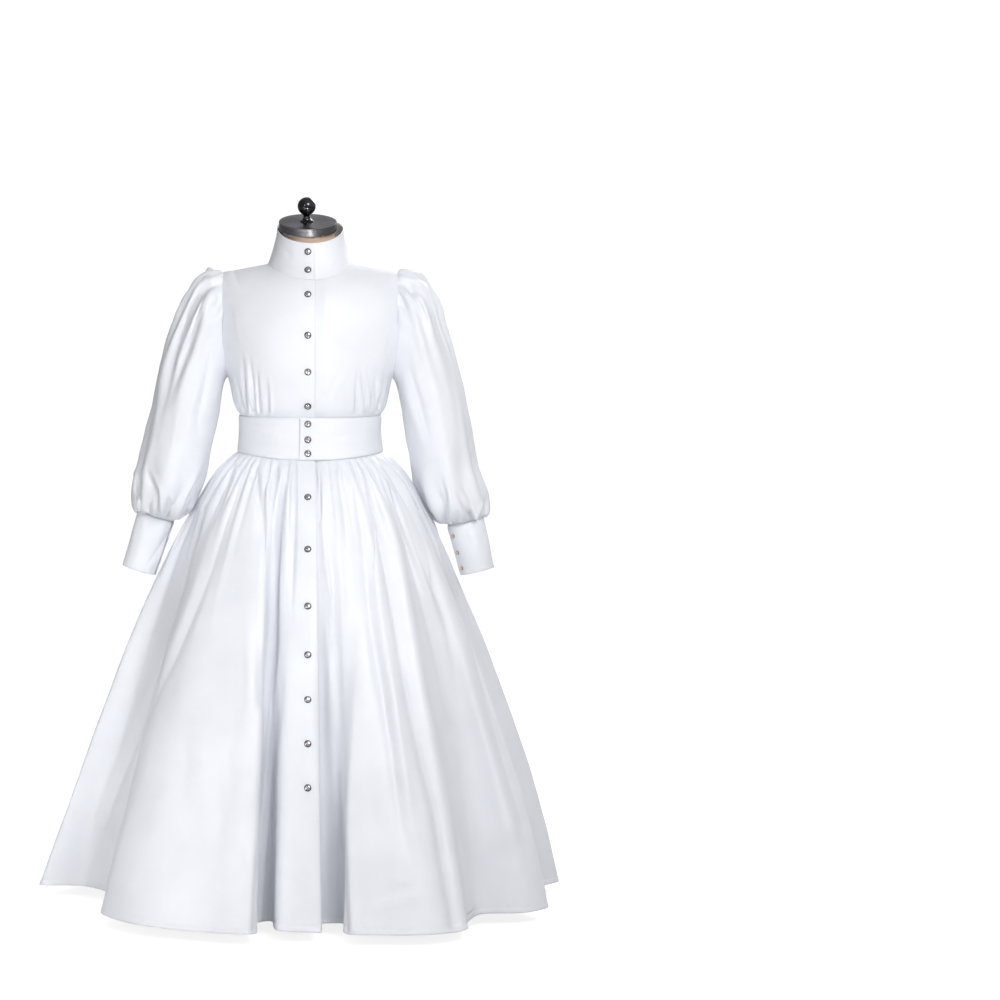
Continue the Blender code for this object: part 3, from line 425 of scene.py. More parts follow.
cap = turned("neck_cap", (
    (0.0, CAP_THICKNESS),
    (0.030, CAP_THICKNESS),
    (CAP_RADIUS - 0.0060, CAP_THICKNESS - 0.0001),
    (CAP_RADIUS - CAP_EDGE, CAP_THICKNESS - 0.0003),
    (CAP_RADIUS - CAP_EDGE * 0.3, CAP_THICKNESS - CAP_EDGE * 0.4),
    (CAP_RADIUS, CAP_THICKNESS - CAP_EDGE),
    (CAP_RADIUS, CAP_THICKNESS - CAP_EDGE * 1.5),
    (CAP_RADIUS, CAP_EDGE * 1.5),
    (CAP_RADIUS, CAP_EDGE),
    (CAP_RADIUS - CAP_EDGE * 0.3, CAP_EDGE * 0.3),
    (CAP_RADIUS - CAP_EDGE, 0.0),
    (0.0, 0.0),
), 128, brushed_steel("brushed_steel", STEEL, 0.30, 0.55))
aim(cap, CAP_TOP - neck_up * CAP_THICKNESS, neck_up)
stands_for(cap, "dark_steel", "form_neck_cap")

knob_ball = [
    (KNOB_RADIUS * math.sin(turn), KNOB_CENTRE + KNOB_RADIUS * math.cos(turn))
    for turn in np.radians(np.arange(0, 152, 7.5))
]
knob = turned("neck_knob", knob_ball + [
    (0.0072, 0.0130),
    (0.0066, 0.0105),
    (0.0078, 0.0060),
    (0.0105, 0.0028),
    (0.0135, 0.0018),
    (0.0139, 0.0006),
    (0.0135, 0.0),
    (0.0, 0.0),
], 64, brushed_steel("polished_steel", STEEL_DARK, 0.14, 0.12))
aim(knob, CAP_TOP + neck_up * FIT + KNOB_ASIDE, neck_up)
stands_for(knob, "dark_steel", "form_knob")


# The bodice: two fronts and a back in heavy white satin, one layer, joined at the shoulders and sides.
# Small tucks take in its fullness above the waistband, and the right front laps over the left.

SNAP_LINE = -0.005
FRONT_LAP = 0.0155
CLOTH = 0.0011  # one layer of satin
BAND_WALL = 0.0016  # two layers with stiffening: band, collar and cuffs
LAYER = 0.0027  # how far a covered end lies below the one on top of it
SEAM = 0.00018
TINY = 1e-6
TURNED_AWAY = (-0.1, 0.35)  # creases fade over this share of turning away from their view
TROUGH_POWER = 1.5  # below 2 the bottom of a crease is sharp
RIDGE_OFF = 1.9  # where the ridge beside a crease stands and how wide it is, in widths of the crease
RIDGE_WIDE = 1.1
BAND_TOP = 1.010
BAND_BACK_RISE = 0.022
UNDERARM = 1.090
CHEST = 1.170
SHOULDER_HALF = 0.181
SHOULDER_END = 1.307
NECK_HALF = 0.088
NECK_POINT = 1.324
NECK_FRONT = 1.294
NECK_BACK = 1.355
NECK_FRONT_CURVE = 2.2
NECK_BACK_CURVE = 2
NECK_FRONT_DEPTH = 0.0970
NECK_BACK_DEPTH = 0.0745
ARMHOLE_DEPTH_SHARE = 0.42
BODICE_MIDDLE = (0.0, 0.0, 1.15)
SATIN = (0.815, 0.83, 0.875)
SATIN_SHADE = (0.775, 0.79, 0.835)
WARP_THREADS = 210.0
WEFT_THREADS = 620.0
BAND_SHIFT_END = 1.12  # the rise of the band at the back moves the bodice's rows up to this height
BODICE_EASE = (0.002, 0.022)  # travel from a covered edge over which the cloth comes up again
BODICE_WAVES = ((0.085, 0.0016, 1.0), (0.030, 0.0005, 1.0))  # size, height, and how much longer they hang
BODICE_PUCKER = (0.007, 0.019, 0.00022)  # reach, pitch and height
BODICE_GROOVE = (0.0003, 0.0024)  # depth and reach
PLACKET_STITCHES = (0.0022, 0.0290)

BodiceRow = namedtuple("BodiceRow", "height half_width front back")
BODICE = table(
    BodiceRow,
    (1.003, 0.1450, 0.1122, 0.1038),
    (1.011, 0.1462, 0.1128, 0.1045),
    (1.026, 0.1535, 0.1205, 0.1105),
    (1.055, 0.1620, 0.1290, 0.1155),
    (1.090, 0.1705, 0.1360, 0.1195),
    (1.130, 0.1770, 0.1395, 0.1235),
    (1.170, 0.1805, 0.1380, 0.1260),
)
MEASURE_ROW = 3  # columns are spread by their angle at this row
LEVEL_COUNT = 48
ROUND_OVER_ROWS = 44
NECK_COLUMN = 31.0
FRONT_COLUMNS = (4.0, 10.0, 17.0, 24.0, 31.0, 40.5, 46.0, 51.5, 57.0, 62.5, 68.0, 73.5, 79.0, 84.5, 90.0)
BACK_COLUMNS = (6.0, 12.0, 18.0, 24.5, 31.0, 38.0, 46.0, 52.5, 59.0, 65.0, 71.0, 76.5, 82.0, 86.5, 90.0)
COLUMNS_BETWEEN = 9

# Tucks above the waistband: degrees from the centre, half angle, depth, and the height where each fades out
Tuck = namedtuple("Tuck", "angle spread depth fade")
TUCK_RISE = (-0.002, 0.014)
TUCK_ROUND = 1.6
FRONT_TUCKS = table(
    Tuck,
    (46.0, 5.0, 0.0042, 1.120), (57.0, 5.2, 0.0056, 1.140),
    (68.0, 5.2, 0.0056, 1.118), (79.0, 5.0, 0.0040, 1.095),
)
BACK_TUCKS = table(
    Tuck,
    (82.0, 5.5, 0.0050, 1.120), (71.0, 6.0, 0.0052, 1.150), (59.0, 6.5, 0.0034, 1.110),
    (46.0, 6.5, 0.0028, 1.085), (31.0, 6.5, 0.0026, 1.080), (12.0, 6.0, 0.0024, 1.075),
)

# A crease: half width, depth of its trough, height of the ridge beside it (on the +X side, or the -X side
# if below zero), shares of its length over which it fades at its head and foot, and points (x, z) on it
Crease = namedtuple("Crease", "width depth ridge head foot line")


def creases(*rows):
    """Creases from rows whose lengths are in millimetres."""
    return [
        Crease(width / 1000, depth / 1000, ridge / 1000, head, foot, np.array(line) / 1000)
        for width, depth, ridge, head, foot, *line in rows
    ]


FRONT_CREASES = creases(
    (3.7, 6.1, 2.9, 0.55, 0, (-142, 1149), (-136, 1107), (-133, 1019)),
    (3.1, 6.8, -2.2, 0.6, 0, (-124, 1144), (-120, 1097), (-115, 1019)),
    (3.1, 5.7, 2.2, 0.6, 0, (-109, 1124), (-107, 1076), (-104, 1019)),
    (3.7, 4, 2.2, 0.6, 0, (-91, 1099), (-88, 1062), (-87, 1019)),
    (4.4, 1.1, 0.6, 0.3, 0.6, (-163, 1252), (-159, 1190), (-144, 1136)),
    (6, 1.6, -1.2, 0.3, 0.5, (-163, 1330), (-153, 1293), (-132, 1252)),
    (3.1, 5.4, -2.2, 0.6, 0, (97, 1116), (95, 1070), (93, 1019)),
    (3.1, 6.1, 2.6, 0.6, 0, (103, 1124), (109, 1076), (116, 1019)),
    (3.5, 4.4, 2.2, 0.6, 0, (132, 1103), (136, 1062), (137, 1019)),
    (6, 1.8, 1.2, 0.4, 0.2, (72, 1124), (43, 1070), (23, 1021)),
    (5.5, 0.7, -0.5, 0.3, 0.6, (167, 1180), (157, 1144), (134, 1124)),
    (8.3, 0.7, 0.6, 0.4, 0.4, (-99, 1124), (-70, 1128), (-37, 1116)),
    (7.2, 0.5, 0.5, 0.4, 0.4, (25, 1116), (58, 1128), (95, 1126)),
)
BACK_CREASES = creases(
    (5.5, 1.8, 1.2, 0.6, 0, (138, 1227), (123, 1177), (110, 1132)),
    (5.5, 1.8, -1.2, 0.6, 0, (-150, 1227), (-140, 1177), (-133, 1132)),
    (8, 1.4, 1, 0.3, 0.5, (163, 1372), (153, 1302), (130, 1237)),
    (8, 1.4, -1, 0.3, 0.5, (-173, 1365), (-163, 1297), (-143, 1232)),
    (7, 1.3, 1, 0.5, 0.3, (-50, 1290), (-63, 1227), (-88, 1152)),
    (6, 1.2, 0.8, 0.5, 0, (50, 1189), (45, 1157), (43, 1127)),
    (10, 1.1, 1, 0.4, 0.4, (83, 1402), (48, 1372), (3, 1365)),
)


def satin_cloth():
    """Heavy duchess satin: fine warp and weft, a soft sheen, faint press marks and tiny crinkles."""
    material = finish_of(
        "white_duchess_satin", SATIN, 0.38, Sheen_Weight=0.12, Sheen_Roughness=0.35, Specular_IOR_Level=0.42
    )
    place = object_place(material)
    x, y, z = add_node(material, "SeparateXYZ", (("Vector", place),)).outputs
    turn = reckon(material, "ARCTAN2", y, x)
    round_place = add_node(material, "CombineXYZ", (("X", turn), ("Z", z))).outputs[0]
    weave = weave_of(material, round_place, WARP_THREADS, WEFT_THREADS, 0.4)
    crinkle = noise_of(material, place, 70.0, 5.0, 0.55)
    press = noise_of(material, place, 9.0, 3.0)
    creased = relief(material, crinkle, 0.16, 0.0022)
    return into_shader(
        material,
        Base_Color=tint(material, between(material, press, 0.0, 1.0), SATIN_SHADE, SATIN),
        Roughness=between(material, press, 0.38, 0.50),
        Normal=relief(material, weave, 0.05, 0.0001, creased),
    )


satin = satin_cloth()


def band_top(angle):
    return BAND_TOP + BAND_BACK_RISE * smooth_step(0.0, 1.0, -np.cos(angle))


def armhole_share(level):
    """Depth of the armhole's edge as a share of the chest's depth, from nothing at the underarm."""
    rise = np.clip((CHEST - level) / (CHEST - UNDERARM), 0.0, 1.0)
    return ARMHOLE_DEPTH_SHARE * np.sqrt(1.0 - rise ** 2)


def neckline(x, behind):
    """Height of the neckline, x counted from the centre outwards."""
    if behind:
        return NECK_BACK + (NECK_POINT - NECK_BACK) * (x / NECK_HALF) ** NECK_BACK_CURVE
    return NECK_FRONT + (NECK_POINT - NECK_FRONT) * (x / NECK_HALF) ** NECK_FRONT_CURVE


def neck_depth(x, behind):
    return (NECK_BACK_DEPTH if behind else NECK_FRONT_DEPTH) * np.sqrt(1.0 - (x / NECK_HALF) ** 2)


def chest_depth(x, level, behind):
    """Depth of the bodice at a place across, below the level where it rounds over to the shoulder."""
    depth = smooth_column(BODICE, "back" if behind else "front", level)
    share = armhole_share(level)
    half_width = smooth_column(BODICE, "half_width", level)
    return depth * np.sqrt(np.clip(1.0 - (1.0 - share ** 2) * (x / half_width) ** 2, 0.0, None))


def meeting_height(x, behind):
    """Height at which the round-over ends: the shoulder seam, carried on inwards to make the neck oval."""
    slope = (SHOULDER_END - NECK_POINT) / (SHOULDER_HALF - NECK_HALF)
    inner = np.minimum(x, NECK_HALF)
    cosine = neck_depth(inner, behind) / chest_depth(inner, np.full_like(inner, CHEST), behind)
    carried = CHEST + (neckline(inner, behind) - CHEST) / np.sqrt(1.0 - cosine ** 2)
    return np.where(x > NECK_HALF, NECK_POINT + slope * (x - NECK_HALF), carried)


def tuck_swell(tucks, angle, level):
    """Soft ridges of the tucks, deepest just above the band and fading upwards."""
    total = 0.0
    for tuck in tucks:
        across = np.clip((angle - math.radians(tuck.angle)) / math.radians(tuck.spread), -1.0, 1.0)
        rise = smooth_step(BAND_TOP + TUCK_RISE[0], BAND_TOP + TUCK_RISE[1], level)
        fade = 1.0 - smooth_step(BAND_TOP, tuck.fade, level)
        total = total + tuck.depth * (1.0 - np.abs(across) ** TUCK_ROUND) * rise * fade
    return total


measured = range(len(BODICE))
BODICE_LEVELS = np.interp(np.linspace(0, measured[-1], LEVEL_COUNT), measured, [row.height for row in BODICE])


def bodice_column(degrees, lap_edge, behind, tucks):
    """One column of a half bodice, waist to neckline or shoulder, as x outwards, depth, height."""
    levels = BODICE_LEVELS
    first = np.arcsin(lap_edge / smooth_column(BODICE, "half_width", levels))
    first_degrees = math.degrees(math.asin(lap_edge / BODICE[MEASURE_ROW].half_width))
    turn = (degrees - first_degrees) / (90.0 - first_degrees)
    angle = first + (math.pi / 2 - first) * turn
    x = smooth_column(BODICE, "half_width", levels) * np.sin(angle)
    y = chest_depth(x, levels, behind)
    around = math.pi - angle if behind else angle
    shift = (band_top(around) - BAND_TOP) * (1.0 - smooth_step(BAND_TOP, BAND_SHIFT_END, levels))
    out = tuck_swell(tucks, angle, levels)
    lower = np.stack([x + out * np.sin(angle), y + out * np.cos(angle), levels + shift], axis=-1)

    if degrees <= NECK_COLUMN:
        neck_first = math.asin(lap_edge / NECK_HALF)
        across = (degrees - first_degrees) / (NECK_COLUMN - first_degrees)
        top_x = NECK_HALF * math.sin(neck_first + (math.pi / 2 - neck_first) * across)
        top_z = neckline(abs(top_x), behind)
    else:
        across = (degrees - NECK_COLUMN) / (90.0 - NECK_COLUMN)
        top_x = NECK_HALF + (SHOULDER_HALF - NECK_HALF) * across
        top_z = meeting_height(np.array([top_x]), behind)[0]
    rise = (top_z - CHEST) / (meeting_height(np.array([abs(top_x)]), behind)[0] - CHEST)
    shares = np.linspace(0.0, 1.0, ROUND_OVER_ROWS + 1)[1:]
    roll = math.asin(min(rise, 1.0)) * shares
    across = x[-1] + (top_x - x[-1]) * shares ** 2
    z = CHEST + (meeting_height(np.abs(across), behind) - CHEST) * np.sin(roll)
    depth = chest_depth(across, np.full_like(across, CHEST), behind) * np.cos(roll)
    upper = np.stack([across, depth, z], axis=-1)
    return np.concatenate([lower, upper])


def half_bodice(columns, lap_edge, behind, tucks):
    """Grid of a half bodice. Its shoulder seam stops just short of the other half's."""
    count = (len(columns) - 1) * COLUMNS_BETWEEN + 1
    fine = np.interp(np.arange(count) / COLUMNS_BETWEEN, range(len(columns)), columns)
    grid = np.stack([bodice_column(degrees, lap_edge, behind, tucks) for degrees in fine], axis=1)
    grid[..., 1] = np.maximum(grid[..., 1], 2 * SEAM)
    return grid


def grid_normals(grid, inside):
    """Outward unit normals at the points of a grid."""
    normals = np.cross(np.gradient(grid, axis=1), np.gradient(grid, axis=0))
    normals /= np.linalg.norm(normals, axis=-1, keepdims=True) + 1e-12
    outwards = (normals * (grid - inside)).sum()
    return normals * math.copysign(1.0, outwards)


def press_creases(grid, normals, front=(), back=()):
    """Presses creases into a grid by their lines in the front and back views."""
    for facing, pressed in ((-1, front), (1, back)):
        flat = grid[..., [0, 2]]
        shift = np.zeros(grid.shape[:2])
        for crease in pressed:
            line = crease.line
            lengths = np.linalg.norm(np.diff(line, axis=0), axis=1)
            walked = 0.0
            nearest = np.full(shift.shape, np.inf)
            signed = np.zeros(shift.shape)
            progress = np.zeros(shift.shape)
            for start, end, length in zip(line, line[1:], lengths):
                along = (end - start) / length
                off = flat - start
                at = np.clip(off @ along, 0.0, length)
                side = off[..., 1] * along[0] - off[..., 0] * along[1]
                gap = np.linalg.norm(off - at[..., None] * along, axis=-1)
                closer = gap < nearest
                nearest = np.where(closer, gap, nearest)
                signed = np.where(closer, np.copysign(gap, -side * np.sign(along[1])), signed)
                progress = np.where(closer, (walked + at) / lengths.sum(), progress)
                walked += length
            fade_in = smooth_step(-TINY, crease.head + TINY, progress)
            fade = fade_in * (1.0 - smooth_step(1.0 - crease.foot - TINY, 1.0 + TINY, progress))
            trough = -crease.depth * np.exp(-((nearest / crease.width) ** TROUGH_POWER))
            away = signed * math.copysign(1.0, crease.ridge)
            beside = (away - RIDGE_OFF * crease.width) / (RIDGE_WIDE * crease.width)
            shift += (trough + abs(crease.ridge) * np.exp(-beside ** 2)) * fade
        weight = smooth_step(*TURNED_AWAY, normals[..., 1] * facing)
        grid += normals * (shift * weight)[..., None]


def wander(grid, normals, waves, seed, seed_step=3):
    """Lets the cloth swell and sink at random, in waves of a size and height, longer down by hang."""
    for number, (size, height, hang) in enumerate(waves):
        wave_seed = seed + seed_step * number
        offset = Vector((wave_seed * 7.31, wave_seed * 3.17, wave_seed * 5.53))
        points = grid.reshape(-1, 3) / (size, size, size * hang)
        swell = np.array([noise.noise(Vector(point) + offset) for point in points])
        grid += normals * (height * swell.reshape(grid.shape[:2]))[..., None]


def pucker(grid, normals, distance, size, seed):
    """Small puckers beside a line of stitches, by each point's distance. size is reach, pitch and height."""
    reach, pitch, height = size
    along = grid[..., 0] * 1.3 + grid[..., 1] * 0.9 + grid[..., 2] * 1.1
    turns = 2 * math.pi * along
    wave = np.sin(turns / pitch + seed) + 0.6 * np.sin(turns / (pitch * 1.73) + 2 * seed)
    grid += normals * (height * wave * np.exp(-((distance / reach) ** 2)))[..., None]


def press_line(grid, normals, distance, groove):
    """Presses the cloth in along a line, by each point's distance. groove is its depth and reach."""
    grid -= normals * (groove[0] * np.exp(-((distance / groove[1]) ** 2)))[..., None]


def under_layer(lap, ease, travel):
    """How far a covered end lies below the one on top of it, by the travel from its edge."""
    return LAYER * (1.0 - smooth_step(lap + ease[0], lap + ease[1], travel))


def sew(name, node, grid, inside, wall, slit_from=None):
    """A cloth piece: its outer face from a grid of points, its wall behind it. It stands for its node."""
    points, faces = grid_faces(grid, inside, slit_from)
    piece = mesh_piece(name, points, faces, satin)
    solidify = piece.modifiers.new("Wall", "SOLIDIFY")
    solidify.thickness = wall
    solidify.offset = -1.0
    return stands_for(piece, "white_satin", node)


def edge_distance(grid, axis, end):
    """Distance of each point from one edge of the grid, along its row or column."""
    steps = np.linalg.norm(np.diff(grid, axis=axis), axis=-1)
    walked = np.insert(np.cumsum(steps, axis=axis), 0, 0.0, axis=axis)
    if end == 0:
        return walked
    return np.take(walked, [-1], axis=axis) - walked


# Machine stitches: real thread, laid in short runs that dip into the cloth at both ends
STITCH_PITCH = 0.0034
STITCH_LENGTH = 0.0027
THREAD_RADIUS = 0.00024
THREAD_LIFT = 0.00012
THREAD_WHITE = (0.86, 0.86, 0.88)
THREAD_SHADE = (0.76, 0.76, 0.79)


def cotton_thread():
    """White sewing thread with its twist."""
    material = finish_of("white_thread", THREAD_WHITE, 0.6, Sheen_Weight=0.2)
    twist = bands_of(material, object_place(material), 900.0, 0.0, "DIAGONAL")
    return into_shader(
        material,
        Base_Color=tint(material, twist, THREAD_SHADE, THREAD_WHITE),
        Normal=relief(material, twist, 0.4, 0.0001),
    )


thread = cotton_thread()


def line_at(grid, normals, axis, distance, end=0):
    """Points and normals of a line on the cloth, at an even distance from one edge of the grid."""
    away = edge_distance(grid, axis, end)
    if axis == 1:
        grid, normals, away = (np.swapaxes(part, 0, 1) for part in (grid, normals, away))
    if end != 0:
        grid, normals, away = grid[::-1], normals[::-1], away[::-1]
    columns = range(grid.shape[1])
    at = np.array([np.interp(distance, away[:, c], range(len(away))) for c in columns])
    low = np.minimum(at.astype(int), len(grid) - 2)
    part = (at - low)[:, None]
    points = grid[low, columns] * (1 - part) + grid[low + 1, columns] * part
    outs = normals[low, columns] * (1 - part) + normals[low + 1, columns] * part
    return points, outs / np.linalg.norm(outs, axis=-1, keepdims=True)


def along_line(walked, rows, at):
    return np.array([np.interp(at, walked, rows[:, k]) for k in range(3)])


def stitch_lines(name, lines):
    """One piece with rows of stitches along lines of points with their outward normals."""
    sections = ((-0.5, -THREAD_LIFT), (-0.3, THREAD_LIFT), (0.3, THREAD_LIFT), (0.5, -THREAD_LIFT))
    turns = np.radians((45.0, 135.0, 225.0, 315.0))
    points = []
    for path, outs in lines:
        walked = np.insert(np.cumsum(np.linalg.norm(np.diff(path, axis=0), axis=1)), 0, 0.0)
        for middle in np.arange(STITCH_PITCH, walked[-1] - STITCH_PITCH / 2, STITCH_PITCH):
            ends = [middle - STITCH_LENGTH / 2, middle, middle + STITCH_LENGTH / 2]
            before, here, after = (along_line(walked, path, at) for at in ends)
            out = along_line(walked, outs, middle)
            along = after - before
            side = np.cross(along, out)
            side /= np.linalg.norm(side)
            for share, lift in sections:
                centre = here + along * share + out * lift
                for turn in turns:
                    points.append(centre + THREAD_RADIUS * (math.cos(turn) * side + math.sin(turn) * out))
    faces = []
    for first in range(0, len(points), 16):
        for ring in range(first, first + 12, 4):
            for k in range(4):
                faces.append((ring + k, ring + (k + 1) % 4, ring + 4 + (k + 1) % 4, ring + 4 + k))
        faces.append((first + 3, first + 2, first + 1, first))
        faces.append((first + 12, first + 13, first + 14, first + 15))
    obj = mesh_piece(name, points, faces, thread)
    face_outwards(obj)
    return stands_for(obj, "white_satin")


def finish_bodice(node, grid, seed, cut, area, **pressed):
    """Folds and seams of a bodice piece whose plain grid is done."""
    normals = grid_normals(grid, BODICE_MIDDLE)
    press_creases(grid, normals, **pressed)
    wander(grid, normals, BODICE_WAVES, seed)
    for axis, end in ((1, 0), (1, -1), (0, -1)):
        away = edge_distance(grid, axis, end)
        pucker(grid, normals, away, BODICE_PUCKER, seed)
        press_line(grid, normals, away, BODICE_GROOVE)
    piece = sew(node + "_satin", node, grid, BODICE_MIDDLE, CLOTH)
    return grid, normals


def make_bodice_front(node, side, covering, seed):
    """side is -1 for the wearer's right. The covering front reaches past the snaps on top of the other."""
    lap_edge = side * SNAP_LINE - FRONT_LAP
    first = math.degrees(math.asin(lap_edge / BODICE[MEASURE_ROW].half_width))
    grid = half_bodice((first, *FRONT_COLUMNS), lap_edge, False, FRONT_TUCKS) * (side, -1.0, 1.0)
    if not covering:
        under = under_layer(SNAP_LINE + FRONT_LAP, BODICE_EASE, grid[..., 0])
        grid -= grid_normals(grid, BODICE_MIDDLE) * under[..., None]
    return finish_bodice(node, grid, seed, (0.27, 0.36), 0.085, front=FRONT_CREASES)


placket = make_bodice_front("bodice_front_right", -1, True, 1)
make_bodice_front("bodice_front_left", 1, False, 2)
back_half = half_bodice((0.0, *BACK_COLUMNS), 0.0, True, BACK_TUCKS)
back_grid = np.concatenate([back_half[:, :0:-1] * (-1.0, 1.0, 1.0), back_half], axis=1)
finish_bodice("bodice_back", back_grid, 4, (0.50, 0.36), 0.16, back=BACK_CREASES)
stitch_lines("stitches_bodice", [line_at(*placket, 1, distance) for distance in PLACKET_STITCHES])


# The collar: one stand band of satin over stiffening, its right end over the left. It is sewn to the
# neckline, flares there, and leans with the neck; two snaps close it.

COLLAR_HALF = 0.069
COLLAR_FRONT = 0.068
COLLAR_BACK = 0.062
COLLAR_SIDE_TOP = 1.398
COLLAR_DROP = 0.02525
COLLAR_DIP = 0.00525
COLLAR_LIFT = 0.0008
COLLAR_FOOT = -0.035  # share at which the band starts, so that its foot lies on the bodice's edge
COLLAR_EASE = (0.08, 0.38)
COLLAR_FLARE = 1.6
COLLAR_MIDDLE = (0.0, 0.0, 1.36)
COLLAR_COLUMNS = 200
COLLAR_ROWS = 30
COLLAR_WAVES = ((0.040, 0.0008, 1.0),)
COLLAR_PUCKER = (0.006, 0.016, 0.00025)
COLLAR_GROOVE = (0.0002, 0.0022)
COLLAR_STITCHES = (0.0032, (0.0024,))  # distance from the long edges, and from the end

COLLAR_CREASES = creases(
    (5, 1.1, 0.9, 0.3, 0.5, (-56, 1318), (-39, 1312), (-21, 1310)),
    (4.5, 0.9, 0.8, 0.4, 0.4, (25, 1318), (45, 1328), (70, 1343)),
    (6, 1, 0.8, 0.4, 0.4, (-54, 1361), (-45, 1343), (-50, 1326)),
)
COLLAR_BACK_CREASES = creases(
    (5, 1.2, 1, 0.4, 0.3, (63, 1458), (43, 1448), (23, 1437)),
    (5, 1, -0.9, 0.4, 0.3, (-60, 1463), (-43, 1450), (-23, 1437)),
    (6, 0.8, 0.8, 0.4, 0.4, (55, 1478), (18, 1468), (-25, 1473)),
)


def neck_ring(angle):
    """The neckline that the collar stands on."""
    x = NECK_HALF * np.sin(angle)
    ahead = np.cos(angle) > 0
    across = np.abs(x)
    y = np.where(ahead, -neck_depth(across, False), neck_depth(across, True))
    z = np.where(ahead, neckline(across, False), neckline(across, True))
    return np.stack([x, y, z], axis=-1)


def collar_point(angle, share, drop):
    """Point of the collar's outer face, which flares at its foot and leans with the neck."""
    foot = neck_ring(angle) + (0.0, 0.0, COLLAR_LIFT)
    x, y = oval(angle, COLLAR_HALF, COLLAR_FRONT, COLLAR_BACK)
    facing = -np.cos(angle)
    top = np.stack([x, y, COLLAR_SIDE_TOP + COLLAR_DROP * facing - COLLAR_DIP * facing ** 2], axis=-1)
    inwards = 1.0 - abs(1.0 - share) ** COLLAR_FLARE
    point = foot + (top - foot) * np.array([inwards, inwards, share])
    point[..., 0] -= drop * np.sin(angle)
    point[..., 1] += drop * np.cos(angle)
    return point


def stitch_band(node, grid, normals, edge_gap, end_gaps):
    """Rows of stitches along both long edges of a band and across its covering end."""
    lines = [line_at(grid, normals, 0, edge_gap, end=end) for end in (0, -1)]
    lines += [line_at(grid, normals, 1, gap, end=-1) for gap in end_gaps]
    stitch_lines("stitches_" + node, lines)


def make_collar():
    start = math.asin((SNAP_LINE - FRONT_LAP) / NECK_HALF)
    lap = math.asin((SNAP_LINE + FRONT_LAP) / NECK_HALF) - start
    travel = np.linspace(0.0, 2 * math.pi + lap, COLLAR_COLUMNS)
    drop = under_layer(lap, COLLAR_EASE, travel)
    shares = np.linspace(COLLAR_FOOT, 1.0, COLLAR_ROWS)
    grid = np.stack([collar_point(start + travel, share, drop) for share in shares])
    normals = grid_normals(grid, COLLAR_MIDDLE)
    press_creases(grid, normals, COLLAR_CREASES, COLLAR_BACK_CREASES)
    wander(grid, normals, COLLAR_WAVES, 5)
    foot = edge_distance(grid, 0, 0)
    pucker(grid, normals, foot, COLLAR_PUCKER, 5)
    press_line(grid, normals, foot, COLLAR_GROOVE)
    piece = sew("collar_satin", "collar", grid, COLLAR_MIDDLE, BAND_WALL)
    stitch_band("collar", grid, normals, *COLLAR_STITCHES)


make_collar()


# The waistband: a deep band of two layers of satin with stiffening between, topstitched along its edges.
# It covers the gathered edges of bodice and skirt, and three snaps close its left end over the right.

BAND_BOTTOM = 0.923
BAND_SIDE_RISE = 0.012
BAND_LAP = 0.018
BAND_EASE = (0.05, 0.35)
BAND_MIDDLE = (0.0, 0.0, 0.97)
BAND_COLUMNS = 300
BAND_ROWS = 34
BAND_WAVES = ((0.060, 0.0011, 1.0),)
BAND_PUCKER = (0.005, 0.013, 0.00025)
BAND_GROOVE = (0.0011, 0.0028)
BAND_STITCHES = (0.0032, (0.0030, 0.0330))

BandRow = namedtuple("BandRow", "share half_width front back")
BAND = table(
    BandRow,
    (0.0, 0.1520, 0.1200, 0.1110),
    (0.5, 0.1487, 0.1178, 0.1085),
    (1.0, 0.1490, 0.1180, 0.1090),
)
BAND_CREASES = creases(
    (6, 1, 0.9, 0.4, 0.4, (-138, 996), (-99, 988), (-54, 994)),
    (7, 1, 0.8, 0.4, 0.4, (-142, 946), (-99, 957), (-41, 950)),
    (6, 0.9, 0.8, 0.4, 0.4, (17, 979), (54, 971), (107, 977)),
    (6, 0.9, 0.8, 0.4, 0.4, (25, 944), (72, 953), (128, 944)),
)
BAND_BACK_CREASES = creases(
    (7, 1, 0.9, 0.4, 0.4, (133, 1084), (83, 1074), (25, 1082)),
    (7, 1, 0.9, 0.4, 0.4, (-13, 1067), (-73, 1074), (-133, 1064)),
    (6, 0.9, 0.8, 0.4, 0.4, (125, 1037), (63, 1047), (-5, 1037)),
)


def band_bottom(angle):
    return BAND_BOTTOM + BAND_SIDE_RISE * np.sin(angle) ** 2


def band_point(angle, share, drop):
    half_width = smooth_column(BAND, "half_width", share) - drop
    front = smooth_column(BAND, "front", share) - drop
    back = smooth_column(BAND, "back", share) - drop
    x, y = oval(angle, half_width, front, back)
    z = band_bottom(angle) + (band_top(angle) - band_bottom(angle)) * share
    return np.stack([x, y, z], axis=-1)


def make_waistband():
    """One band that runs from its covered end over the wearer's right, round the back to the snaps."""
    start, end = (math.asin((SNAP_LINE + reach) / BAND[0].half_width) for reach in (BAND_LAP, -BAND_LAP))
    lap = start - end
    travel = np.linspace(0.0, 2 * math.pi + lap, BAND_COLUMNS)
    drop = under_layer(lap, BAND_EASE, travel)
    shares = np.linspace(0.0, 1.0, BAND_ROWS)
    grid = np.stack([band_point(start - travel, np.full_like(travel, share), drop) for share in shares])
    normals = grid_normals(grid, BAND_MIDDLE)
    press_creases(grid, normals, BAND_CREASES, BAND_BACK_CREASES)
    wander(grid, normals, BAND_WAVES, 6)
    for edge in (0, -1):
        pucker(grid, normals, edge_distance(grid, 0, edge), BAND_PUCKER, 6 + edge)
    for edge in (0, -1):
        press_line(grid, normals, edge_distance(grid, 0, edge), BAND_GROOVE)
    piece = sew("waistband_satin", "waistband", grid, BAND_MIDDLE, BAND_WALL)
    stitch_band("waistband", grid, normals, *BAND_STITCHES)


make_waistband()


# The skirt: two fronts and a back of satin, cut full, gathered into the waistband and hanging in deep
# folds to a narrow stitched hem. The right front laps over the left, and seven snaps close it.

